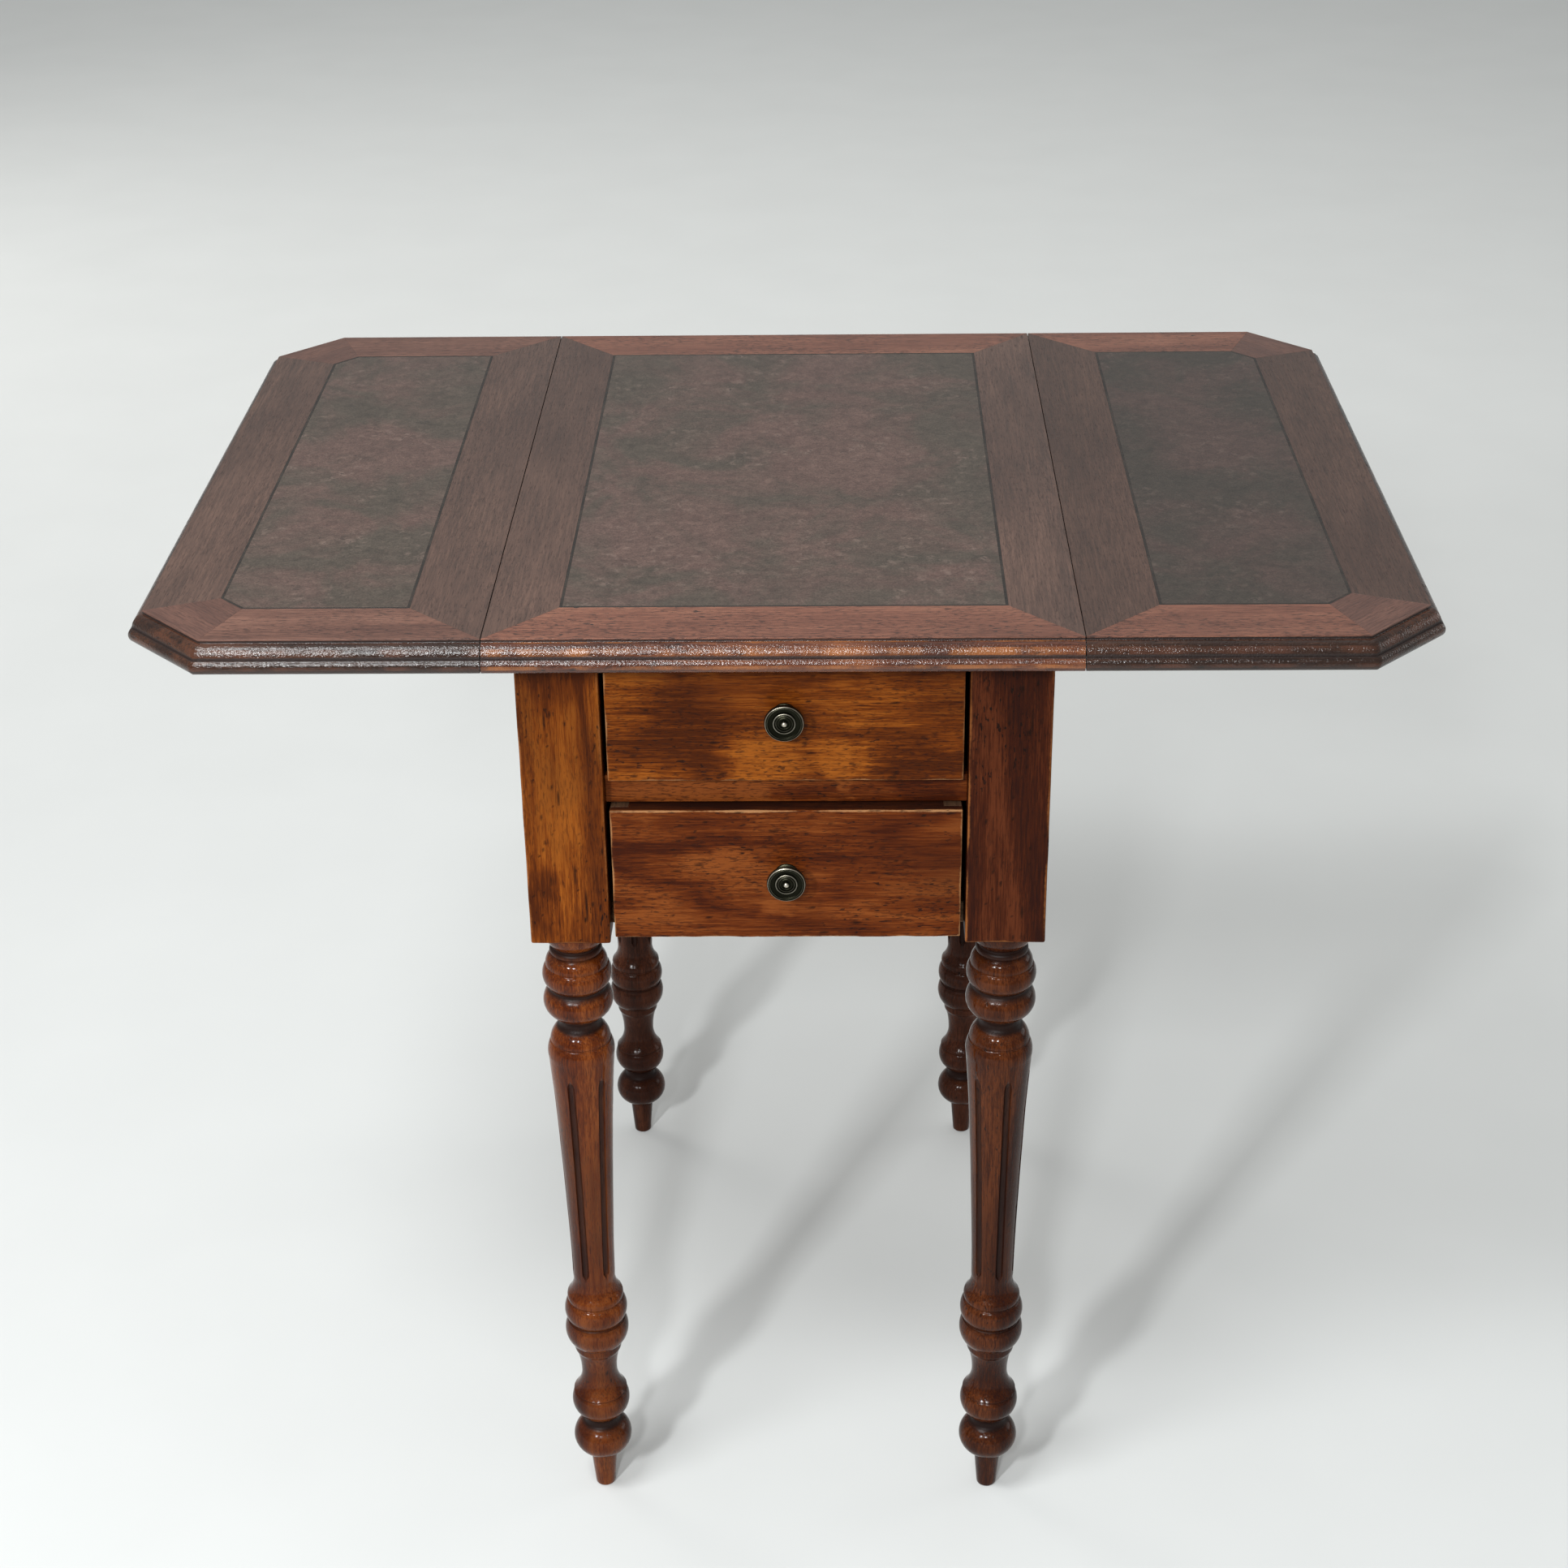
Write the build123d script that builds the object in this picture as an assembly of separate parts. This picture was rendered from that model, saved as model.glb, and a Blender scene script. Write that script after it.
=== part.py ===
from build123d import *
import math
import os

# A sewing table with two drawers and two drop leaves.  Millimetres, +Z up, front faces -Y.
# The origin is on the floor, under the centre of the open top.

# --- Top -------------------------------------------------------------------------------
TABLE_H = 740.0
BOARD_T = 20.0
VENEER_T = 1.0
FLAT_X = 410.0  # half-length of the flat with both leaves up
FLAT_Y = 288.0  # half-depth of the flat
CORNER_CUT = 45.0  # leg of the leaf's 45 degree corner
HINGE_X = 188.3
SEAM_GAP = 0.6
BAND_END = 46.5  # bands that run along X
BAND_CENTRE_SIDE = 45.0
BAND_LEAF_INNER = 50.0
BAND_LEAF_OUTER = 47.0
PANEL_CUT = 17.0  # corner of the leaf's burl panel
STRING_W = 1.8

# Edge moulding, a torus under a quarter round: distance out of the flat, height above the underside.
TORUS_LOW = (8.5, 0.0)
TORUS_MIDDLE = (10.0, 4.3)
TORUS_TOP = (8.0, 8.6)
STEP_IN = (7.0, 8.6)
OVOLO_LOW = (7.0, 9.2)
OVOLO_MIDDLE = (5.2, 14.6)
OVOLO_TOP = (1.0, 17.5)
LIP_LOW = (0.0, 17.5)

VENEER_Z = TABLE_H - VENEER_T
BOARD_Z = TABLE_H - BOARD_T
SEAM_C = HINGE_X - SEAM_GAP / 2
SEAM_L = HINGE_X + SEAM_GAP / 2
FAR = 900.0  # longer than the table in every direction

# --- Legs ------------------------------------------------------------------------------
BLOCK = 54.0
LEG_X = 146.0
LEG_Y = 231.5
BLOCK_Z = 503.0
FLUTES = 6
FLUTE_R = 3.3
FLUTE_LOW = (14.6, 207.0)  # radius and height of a flute's centre line at its lower end
FLUTE_HIGH = (21.9, 378.0)
# Each leg was turned on its own, so its flutes stand at an angle of their own.
FLUTE_TURN = {"front_left": 33.5, "front_right": 15.5, "back_left": 4.0, "back_right": 48.0}

BLOCK_OUT_X = LEG_X + BLOCK / 2
BLOCK_OUT_Y = LEG_Y + BLOCK / 2
BLOCK_IN_X = LEG_X - BLOCK / 2
BLOCK_IN_Y = LEG_Y - BLOCK / 2

# --- Carcass ---------------------------------------------------------------------------
SIDE_OUT = 166.0
PANEL_T = 16.0
BACK_OUT = 250.5
TENON_T = 8.0
TENON_L = 15.0
TENON_SHOULDER = 12.0
RAIL_T = 20.0
RAIL_MIDDLE_Z = 602.5
RAIL_MIDDLE_SETBACK = 10.0
RAIL_THIN_T = 16.5  # top and bottom front rails, hidden behind the drawer fronts
RAIL_THIN_CLEAR = 1.0  # between those rails and the drawer fronts
RAIL_TENON_INSET = 8.0  # a rail's tenon is this much narrower on both sides
RUNNER_IN = 100.0
GUIDE_IN = 116.0
GUIDE_H = 14.0
STOP_L = 12.0

SIDE_IN = SIDE_OUT - PANEL_T
BACK_IN = BACK_OUT - PANEL_T
CLEAT_Z = BOARD_Z - RAIL_THIN_T

# --- Drawers ---------------------------------------------------------------------------
FRONT_T = 20.0
FRONT_X = 116.0
DRAWER_X = 115.5
DRAWER_SIDE_T = 12.0
DRAWER_BACK_T = 12.0
DRAWER_REAR = 191.5
DRAWER_PLAY = 0.3
LAP = 6.0  # wood left in front of the half-blind dovetails
BOTTOM_T = 5.0
GROOVE = 5.0
GROOVE_UP = 8.0  # groove above the lower edge of the drawer side
BACK_DROP = 6.0  # the drawer back is lower than the sides
TAILS = 3
TAIL_ROOT = 0.30  # half-width of a tail as a share of its pitch
TAIL_END = 0.40
# Each drawer: lower and upper edge of the front, lower and upper edge of the sides.
DRAWERS = {
    "upper": (623.0, 719.5, RAIL_MIDDLE_Z + RAIL_T + DRAWER_PLAY, CLEAT_Z - 2.5),
    "lower": (504.0, 601.0, BLOCK_Z + RAIL_THIN_T + DRAWER_PLAY, 601.0),
}
DRAWER_FACE = -BLOCK_OUT_Y
DRAWER_FRONT_IN = DRAWER_FACE + FRONT_T

# --- Knobs -----------------------------------------------------------------------------
KNOB_R = 13.0
KNOB_OUT = 16.0
KNOB_STEM_R = 5.0
KNOB_FOOT_R = 8.0
STUD_R = 2.5
STUD_L = 27.0
NUT_ACROSS = 8.0
NUT_T = 3.5
WASHER_R = 6.5
WASHER_T = 1.0
KNOB_DROP = 0.6  # the knob's centre is this much above the middle of the front

# --- Hinges ----------------------------------------------------------------------------
HINGE_Z = BOARD_Z - 3.0
HINGE_Y = (-175.0, 175.0)
HINGE_W = 46.0
KNUCKLE_R = 2.6
KNUCKLE_W = 16.0  # the leaf's knuckle, between two fixed ones
KNUCKLE_GAP = 0.3
PIN_R = 1.25
PIN_FIT = 0.05
PLATE_T = 1.6
PLATE_FIXED_X = 167.5
PLATE_LEAF_X = 226.0
SCREW_HEAD_R = 3.0
SCREW_R = 1.5
SCREW_L = 12.0
LEAF_SCREW_FAR = 8.0  # from the plate's outer edge
LEAF_SCREW_NEAR = 22.0
LEAF_SCREW_Y = 14.0

# --- Leaf struts -----------------------------------------------------------------------
STRUT_Y = (-105.0, 105.0)
STRUT_X = 177.0
STRUT_Z = 627.0
STRUT_LEAN = 45.0  # degrees from upright with the leaf up
STRUT_W = 9.0
STRUT_T = 3.0
STRUT_EYE_R = 6.5
STRUT_PIN_R = 2.5
CATCH_T = 3.0
CATCH_GAP = 0.3
CATCH_W = 24.0
CATCH_SLOPE = 15.0
CATCH_INNER = 14.0  # flat of the catch inside the strut's tip
CATCH_OUTER = 14.0  # flat of the catch outside the ramp
RAMP_START = 1.2  # from the strut's tip with the leaf up
RAMP_L = 9.0
RAMP_CREST = 2.0
RAMP_BACK = 4.0
CATCH_SCREW_IN = 10.0
CATCH_SCREW_OUT = 20.0
CATCH_SCREW_Y = 7.0
EAR_T = 2.0
EAR_GAP = 0.3
BRACKET_T = 2.0
BRACKET_H = 40.0
BRACKET_W = 24.0
BRACKET_SCREW_EDGE = 6.0  # from the plate's upper or lower edge
RIVET_OUT = 1.2

STRUT_L = (BOARD_Z - CATCH_T - CATCH_GAP - STRUT_W / 2 - STRUT_Z) / math.cos(math.radians(STRUT_LEAN))
STRUT_TIP_X = STRUT_X + STRUT_L * math.sin(math.radians(STRUT_LEAN))

# --- Cleat screws ----------------------------------------------------------------------
CLEAT_SCREW_X = 125.0
CLEAT_SCREW_Y = (-150.0, 0.0, 150.0)
CLEAT_SCREW_L = 28.0


# --- Helpers ---------------------------------------------------------------------------
def block(x, y, z):
    """A box between the given (low, high) limits on each axis."""
    low = (min(x), min(y), min(z))
    size = (abs(x[1] - x[0]), abs(y[1] - y[0]), abs(z[1] - z[0]))
    return Pos(*low) * Box(*size, align=(Align.MIN, Align.MIN, Align.MIN))


def sheet(outline, z_low, z_high):
    """A flat piece with a polygonal outline."""
    face = Pos(0, 0, z_low) * Polygon(*outline, align=None)
    return extrude(face, z_high - z_low, dir=(0, 0, 1))


def side_plate(outline, y_low, y_high):
    """A plate that stands in the XZ plane, between two depths."""
    face = Pos(0, y_low, 0) * (Plane.XZ * Polygon(*outline, align=None))
    return extrude(face, y_high - y_low, dir=(0, 1, 0))


def rod(radius, start, axis, length):
    """A cylinder from START along AXIS."""
    place = Plane(origin=start, z_dir=axis)
    return place * Cylinder(radius, length, align=(Align.CENTER, Align.CENTER, Align.MIN))


def both_sides(piece):
    """The piece on the right and its mirror image on the left."""
    return [piece, mirror(piece, about=Plane.YZ)]


def less(piece, tools):
    """The piece with every tool cut out of it."""
    for tool in tools:
        piece = piece - tool
    return piece


def wood_screw(point, axis, length):
    """A countersunk screw whose head is flush at POINT; AXIS runs from head to tip."""
    depth = SCREW_HEAD_R - SCREW_R
    place = Plane(origin=point, z_dir=axis)
    lower = (Align.CENTER, Align.CENTER, Align.MIN)
    head = Cone(SCREW_HEAD_R, SCREW_R, depth, align=lower)
    shank = Pos(0, 0, depth) * Cylinder(SCREW_R, length - depth - SCREW_R, align=lower)
    tip = Pos(0, 0, length - SCREW_R) * Cone(SCREW_R, 0.3, SCREW_R, align=lower)
    return place * (head + shank + tip)


class Turning:
    """The outline of a turned piece, drawn from its lower end up, then revolved."""

    def __init__(self, radius, height):
        self.edges = [Line((0, height), (radius, height))]
        self.at = (radius, height)

    def line(self, radius, height):
        self.edges.append(Line(self.at, (radius, height)))
        self.at = (radius, height)

    def arc(self, radius, height, bulge):
        """An arc whose middle stands BULGE outside the chord; a hollow has a negative bulge."""
        middle = ((self.at[0] + radius) / 2 + bulge, (self.at[1] + height) / 2)
        self.edges.append(ThreePointArc(self.at, middle, (radius, height)))
        self.at = (radius, height)

    def curve(self, *points):
        self.edges.append(Spline(self.at, *points))
        self.at = points[-1]

    def solid(self):
        self.line(0, self.at[1])
        self.edges.append(Line(self.at, (0, self.edges[0].start_point().Y)))
        return revolve(Plane.XZ * make_face(self.edges), Axis.Z)


# --- Top -------------------------------------------------------------------------------
def moulded_slab(reach, turn):
    """A slab as thick as the core whose one moulded edge faces TURN degrees from +X."""

    def at(point):
        return (reach + point[0], BOARD_Z + point[1])

    edges = [
        Line((-FAR, BOARD_Z), at(TORUS_LOW)),
        ThreePointArc(at(TORUS_LOW), at(TORUS_MIDDLE), at(TORUS_TOP)),
        Line(at(TORUS_TOP), at(STEP_IN)),
        Line(at(STEP_IN), at(OVOLO_LOW)),
        ThreePointArc(at(OVOLO_LOW), at(OVOLO_MIDDLE), at(OVOLO_TOP)),
        Line(at(OVOLO_TOP), at(LIP_LOW)),
        Line(at(LIP_LOW), (reach, VENEER_Z)),
        Line((reach, VENEER_Z), (-FAR, VENEER_Z)),
        Line((-FAR, VENEER_Z), (-FAR, BOARD_Z)),
    ]
    return Rot(0, 0, turn) * extrude(Plane.XZ * make_face(edges), FAR, both=True)


def centre_board():
    core = block((-SEAM_C, SEAM_C), (-FAR, FAR), (BOARD_Z, VENEER_Z))
    for turn in (-90, 90):
        core = core & moulded_slab(FLAT_Y, turn)
    return core


def leaf_board():
    corner_reach = (FLAT_X - CORNER_CUT + FLAT_Y) / math.sqrt(2)
    core = block((SEAM_L, FAR), (-FAR, FAR), (BOARD_Z, VENEER_Z))
    core = core & moulded_slab(FLAT_X, 0)
    for turn in (-1, 1):
        core = core & moulded_slab(FLAT_Y, 90 * turn)
        core = core & moulded_slab(corner_reach, 45 * turn)
    return core


def veneer(outline):
    return sheet(outline, VENEER_Z, TABLE_H)


def flip_y(outline):
    return [(x, -y) for x, y in reversed(outline)]


def centre_veneers():
    """The centre board's panel, stringing, end bands and side bands."""
    x_in = SEAM_C - BAND_CENTRE_SIDE
    y_in = FLAT_Y - BAND_END
    end = [(-SEAM_C, -FLAT_Y), (SEAM_C, -FLAT_Y), (x_in, -y_in), (-x_in, -y_in)]
    side = [(SEAM_C, -FLAT_Y), (SEAM_C, FLAT_Y), (x_in, y_in), (x_in, -y_in)]
    field = veneer([(-x_in, -y_in), (x_in, -y_in), (x_in, y_in), (-x_in, y_in)])
    x_p = x_in - STRING_W
    y_p = y_in - STRING_W
    panel = veneer([(-x_p, -y_p), (x_p, -y_p), (x_p, y_p), (-x_p, y_p)])
    return {
        "burl_panel": [panel],
        "stringing": [field - panel],
        "end_bands": [veneer(end), veneer(flip_y(end))],
        "side_bands": both_sides(veneer(side)),
    }


def cut_corner_outline(x_low, x_high, y, cut):
    """A rectangle, symmetrical in Y, whose two outer corners are cut at 45 degrees."""
    front = [(x_low, -y), (x_high - cut, -y), (x_high, cut - y)]
    return front + flip_y(front)


def leaf_veneers():
    """The right leaf's panel, stringing and bands."""
    inset = STRING_W * (2 - math.sqrt(2))  # keeps the stringing's width round the cut corners
    x_in = SEAM_L + BAND_LEAF_INNER
    x_out = FLAT_X - BAND_LEAF_OUTER
    y_in = FLAT_Y - BAND_END
    outer = cut_corner_outline(SEAM_L, FLAT_X, FLAT_Y, CORNER_CUT)
    inner = cut_corner_outline(x_in, x_out, y_in, PANEL_CUT)
    field = veneer(inner)
    panel_outline = cut_corner_outline(
        x_in + STRING_W, x_out - STRING_W, y_in - STRING_W, PANEL_CUT - inset
    )
    panel = veneer(panel_outline)
    end = [outer[0], outer[1], inner[1], inner[0]]
    corner = [outer[1], outer[2], inner[2], inner[1]]
    outer_side = [outer[2], outer[3], inner[3], inner[2]]
    inner_side = [outer[0], inner[0], inner[5], outer[5]]
    return {
        "burl_panel": [panel],
        "stringing": [field - panel],
        "end_bands": [veneer(end), veneer(flip_y(end))],
        "corner_bands": [veneer(corner), veneer(flip_y(corner))],
        "side_bands": [veneer(outer_side), veneer(inner_side)],
    }


# --- Legs ------------------------------------------------------------------------------
def leg_turning():
    leg = Turning(7.3, 0)
    leg.line(10.1, 33)  # foot
    leg.arc(13.5, 62, 10.0)  # ball
    leg.arc(13.5, 69, -1.0)
    leg.arc(19.5, 91, 4.7)  # bead
    leg.line(18.7, 92)
    leg.line(19.8, 93)
    leg.arc(13.2, 110, -1.6)  # long cove
    leg.arc(16.2, 131, -0.8)
    leg.line(17.4, 133.5)
    leg.line(17.4, 138)
    leg.arc(21.3, 160, 3.9)  # double bead
    leg.line(20.6, 160.6)
    leg.arc(20.6, 178, 2.5)
    leg.line(19.9, 178.6)
    leg.line(20.4, 179.4)
    leg.line(20.3, 184)
    leg.arc(15.4, 201, -1.9)  # bell under the shaft
    leg.curve((15.6, 220), (16.9, 265), (18.9, 320), (21.2, 367), (23.2, 394))
    leg.arc(21.6, 406, 1.0)
    leg.line(20.6, 407)
    leg.line(21.2, 408)
    leg.arc(15.2, 418.5, 1.4)
    leg.arc(14.6, 425, -1.2)
    leg.line(15.2, 427)
    leg.arc(20.7, 449, 6.3)  # upper ball
    leg.line(20.3, 452)
    leg.arc(22.0, 468, 2.9)
    leg.line(21.4, 469)
    leg.arc(17.0, 478, 1.4)
    leg.arc(17.0, 483, 1.2)
    leg.line(16.4, 484)
    leg.line(17.0, 485)
    leg.arc(22.5, BLOCK_Z, 1.4)  # collar under the block
    return leg.solid()


def flute():
    """The tool that cuts one flute: a slanted rod with round ends."""
    low = Vector(FLUTE_LOW[0] + FLUTE_R, 0, FLUTE_LOW[1])
    high = Vector(FLUTE_HIGH[0] + FLUTE_R, 0, FLUTE_HIGH[1])
    run = high - low
    tool = rod(FLUTE_R, low, run, run.length)
    for end in (low, high):
        tool = tool + Pos(*end) * Sphere(FLUTE_R)
    return tool


def leg_at(right, back, turn):
    """One leg.  Its block holds the mortises of the side panel, the back panel or the rails."""
    x = LEG_X * right
    y = LEG_Y * back
    piece = leg_turning()
    tool = flute()
    for k in range(FLUTES):
        piece = piece - Rot(0, 0, turn - 90 + k * 360 / FLUTES) * tool
    half = BLOCK / 2
    piece = piece + block((-half, half), (-half, half), (BLOCK_Z, BOARD_Z))
    return Pos(x, y, 0) * piece


# --- Carcass ---------------------------------------------------------------------------
def side_panel():
    """The right side panel, with a tenon at each end."""
    panel = block((SIDE_IN, SIDE_OUT), (-BLOCK_IN_Y, BLOCK_IN_Y), (BLOCK_Z, BOARD_Z))
    middle = (SIDE_IN + SIDE_OUT) / 2
    reach = BLOCK_IN_Y + TENON_L
    tenon = block(
        (middle - TENON_T / 2, middle + TENON_T / 2),
        (-reach, reach),
        (BLOCK_Z + TENON_SHOULDER, BOARD_Z - TENON_SHOULDER),
    )
    return panel + tenon


def cross_piece(y, z, tenon_y, tenon_z):
    """A rail or panel between two legs, with a tenon at each end."""
    body = block((-BLOCK_IN_X, BLOCK_IN_X), y, z)
    reach = BLOCK_IN_X + TENON_L
    return body + block((-reach, reach), tenon_y, tenon_z)


def back_panel():
    middle = (BACK_IN + BACK_OUT) / 2
    return cross_piece(
        (BACK_IN, BACK_OUT),
        (BLOCK_Z, BOARD_Z),
        (middle - TENON_T / 2, middle + TENON_T / 2),
        (BLOCK_Z + TENON_SHOULDER, BOARD_Z - TENON_SHOULDER),
    )


def front_rail(y_front, z_low, thick):
    z_middle = z_low + thick / 2
    return cross_piece(
        (y_front, -BLOCK_IN_Y),
        (z_low, z_low + thick),
        (y_front + RAIL_TENON_INSET, -BLOCK_IN_Y - RAIL_TENON_INSET),
        (z_middle - TENON_T / 2, z_middle + TENON_T / 2),
    )


def runner(z_low, thick):
    """A strip glued to the side panel; a drawer's side slides on it."""
    return block((RUNNER_IN, SIDE_IN), (-BLOCK_IN_Y, BLOCK_IN_Y), (z_low, z_low + thick))


def guide_on(z):
    return block((GUIDE_IN, SIDE_IN), (-BLOCK_IN_Y, BLOCK_IN_Y), (z, z + GUIDE_H))


def stop_on(z):
    low = DRAWER_REAR + DRAWER_PLAY
    return block((RUNNER_IN, GUIDE_IN), (low, low + STOP_L), (z, z + GUIDE_H))


# --- Drawers ---------------------------------------------------------------------------
def tails(z, y_root, y_end):
    """The dovetails at one end of the right drawer side, as solids that also cut their sockets."""
    pitch = (z[1] - z[0]) / TAILS
    room = block((DRAWER_X - DRAWER_SIDE_T, DRAWER_X), (y_root, y_end), z)
    out = []
    for k in range(TAILS):
        middle = z[1] - (k + TAIL_ROOT) * pitch
        outline = [
            (y_root, middle - TAIL_ROOT * pitch),
            (y_end, middle - TAIL_END * pitch),
            (y_end, middle + TAIL_END * pitch),
            (y_root, middle + TAIL_ROOT * pitch),
        ]
        face = Plane.YZ * Polygon(*outline, align=None)
        tail = Pos(DRAWER_X - DRAWER_SIDE_T, 0, 0) * extrude(face, DRAWER_SIDE_T, dir=(1, 0, 0))
        out.append(tail & room)
    return out


def drawer_knob(z):
    """A ringed disc on a waisted stem, with the stud that runs through the drawer front."""
    knob = Turning(STUD_R, -STUD_L)
    knob.line(STUD_R, 0)
    knob.line(KNOB_FOOT_R, 0)
    knob.line(KNOB_FOOT_R, 1.5)
    knob.arc(KNOB_STEM_R, 5, -0.9)
    knob.arc(KNOB_R - 2, KNOB_OUT - 5, -2.2)
    knob.line(KNOB_R - 0.6, KNOB_OUT - 4.4)
    knob.arc(KNOB_R - 0.6, KNOB_OUT - 1.2, 0.6)
    knob.line(KNOB_R - 2.6, KNOB_OUT - 0.6)
    knob.line(KNOB_R - 3.2, KNOB_OUT - 1.6)
    knob.line(KNOB_R - 6.4, KNOB_OUT - 1.6)
    knob.line(KNOB_R - 6.9, KNOB_OUT - 0.9)
    knob.line(KNOB_R - 8.1, KNOB_OUT - 0.9)
    knob.line(KNOB_R - 8.6, KNOB_OUT - 1.5)
    knob.line(2.6, KNOB_OUT - 1.5)
    knob.arc(0.4, KNOB_OUT, 0.7)
    return Plane(origin=(0, DRAWER_FACE, z), x_dir=(1, 0, 0), z_dir=(0, -1, 0)) * knob.solid()


def knob_nut(z):
    """The washer and the nut on the stud, inside the drawer."""
    place = Plane(origin=(0, DRAWER_FRONT_IN, z), x_dir=(1, 0, 0), z_dir=(0, 1, 0))
    washer = extrude(Circle(WASHER_R), WASHER_T)
    nut = extrude(Pos(0, 0, WASHER_T) * RegularPolygon(NUT_ACROSS / 2, 6, major_radius=False), NUT_T)
    return place * (washer + nut) - rod(STUD_R, (0, DRAWER_FACE, z), (0, 1, 0), STUD_L)


def drawer(front_low, front_high, side_low, side_high):
    """One drawer's front, sides, back, bottom, knob and nut."""
    z = (side_low, side_high)
    groove_z = (side_low + GROOVE_UP, side_low + GROOVE_UP + BOTTOM_T)
    back_z = (groove_z[1], side_high - BACK_DROP)
    back_in = DRAWER_REAR - DRAWER_BACK_T
    knob_z = (front_low + front_high) / 2 + KNOB_DROP
    inner = DRAWER_X - DRAWER_SIDE_T
    bottom = block(
        (-inner - GROOVE, inner + GROOVE), (DRAWER_FRONT_IN - GROOVE, DRAWER_REAR), groove_z
    )
    front_tails = tails(z, DRAWER_FRONT_IN, DRAWER_FACE + LAP)
    back_tails = tails(back_z, back_in, DRAWER_REAR)
    knob = drawer_knob(knob_z)

    side = block((inner, DRAWER_X), (DRAWER_FRONT_IN, back_in), z)
    for tail in front_tails + back_tails:
        side = side + tail
    side = side - bottom

    front = block((-FRONT_X, FRONT_X), (DRAWER_FACE, DRAWER_FRONT_IN), (front_low, front_high))
    back = block((-DRAWER_X, DRAWER_X), (back_in, DRAWER_REAR), back_z)
    for tail in front_tails:
        front = less(front, both_sides(tail))
    for tail in back_tails:
        back = less(back, both_sides(tail))
    front = front - bottom - rod(STUD_R, (0, DRAWER_FACE, knob_z), (0, 1, 0), STUD_L)
    return {
        "front": [front],
        "sides": both_sides(side),
        "back": [back],
        "bottom": [bottom],
        "knob": [knob],
        "knob_nut": [knob_nut(knob_z)],
    }


# --- Hinges, on the right side ---------------------------------------------------------
def knuckle(y_low, y_high, bore):
    barrel = rod(KNUCKLE_R, (HINGE_X, y_low, HINGE_Z), (0, 1, 0), y_high - y_low)
    return barrel - rod(bore, (HINGE_X, y_low, HINGE_Z), (0, 1, 0), y_high - y_low)


def fixed_plate(y):
    """The hinge plate under the centre board, with its two outer knuckles."""
    z = (BOARD_Z - PLATE_T, BOARD_Z)
    clear = HINGE_X - KNUCKLE_R - KNUCKLE_GAP
    half = HINGE_W / 2
    gap = KNUCKLE_W / 2 + KNUCKLE_GAP
    plate = block((PLATE_FIXED_X, clear), (y - half, y + half), z)
    for low, high in ((y - half, y - gap), (y + gap, y + half)):
        plate = plate + block((clear, SEAM_C), (low, high), z) + knuckle(low, high, PIN_R)
    hole = rod(PIN_R, (HINGE_X, y - half, HINGE_Z), (0, 1, 0), HINGE_W)
    return less(plate - hole, fixed_screws(y))


def leaf_plate(y):
    """The hinge plate under the leaf, with the middle knuckle."""
    z = (BOARD_Z - PLATE_T, BOARD_Z)
    clear = HINGE_X + KNUCKLE_R + KNUCKLE_GAP
    half = HINGE_W / 2
    low, high = y - KNUCKLE_W / 2, y + KNUCKLE_W / 2
    plate = block((clear, PLATE_LEAF_X), (y - half, y + half), z)
    plate = plate + block((SEAM_L, clear), (low, high), z) + knuckle(low, high, PIN_R + PIN_FIT)
    hole = rod(PIN_R + PIN_FIT, (HINGE_X, y - half, HINGE_Z), (0, 1, 0), HINGE_W)
    return less(plate - hole, leaf_hinge_screws(y))


def hinge_pin(y):
    return rod(PIN_R, (HINGE_X, y - HINGE_W / 2, HINGE_Z), (0, 1, 0), HINGE_W)


def screws_up(points):
    """Screws driven up into a top board from under a hinge plate."""
    return [wood_screw((x, y, BOARD_Z - PLATE_T), (0, 0, 1), SCREW_L) for x, y in points]


def fixed_screws(y):
    x = (PLATE_FIXED_X + HINGE_X - KNUCKLE_R) / 2
    return screws_up([(x, y - HINGE_W / 3), (x, y + HINGE_W / 3)])


def leaf_hinge_screws(y):
    far = PLATE_LEAF_X - LEAF_SCREW_FAR
    near = PLATE_LEAF_X - LEAF_SCREW_NEAR
    return screws_up([(far, y - LEAF_SCREW_Y), (far, y + LEAF_SCREW_Y), (near, y)])


# --- Struts, on the right side ---------------------------------------------------------
def strut(y):
    """A flat bar from its pivot on the carcass up to the catch under the leaf."""
    place = Plane(origin=(STRUT_X, y + STRUT_T / 2, STRUT_Z), x_dir=(1, 0, 0), z_dir=(0, -1, 0))
    bar = Pos(0, STRUT_L / 2) * Rectangle(STRUT_W, STRUT_L)
    tip = Pos(0, STRUT_L) * Circle(STRUT_W / 2)
    outline = Rot(0, 0, -STRUT_LEAN) * (bar + tip + Circle(STRUT_EYE_R))
    return extrude(place * (outline - Circle(STRUT_PIN_R + PIN_FIT)), STRUT_T, dir=(0, -1, 0))


def strut_bracket(y):
    """A plate on the side panel with two ears that hold the strut between them."""
    x = (SIDE_OUT, SIDE_OUT + BRACKET_T)
    z = (STRUT_Z - BRACKET_H / 2, STRUT_Z + BRACKET_H / 2)
    plate = block(x, (y - BRACKET_W / 2, y + BRACKET_W / 2), z)
    inside = STRUT_T / 2 + EAR_GAP
    for low in (y + inside, y - inside - EAR_T):
        ear = block(
            (x[1], STRUT_X), (low, low + EAR_T), (STRUT_Z - STRUT_EYE_R, STRUT_Z + STRUT_EYE_R)
        )
        plate = plate + ear + rod(STRUT_EYE_R, (STRUT_X, low, STRUT_Z), (0, 1, 0), EAR_T)
    return less(plate, [strut_pin(y)] + bracket_screws(y))


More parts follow.
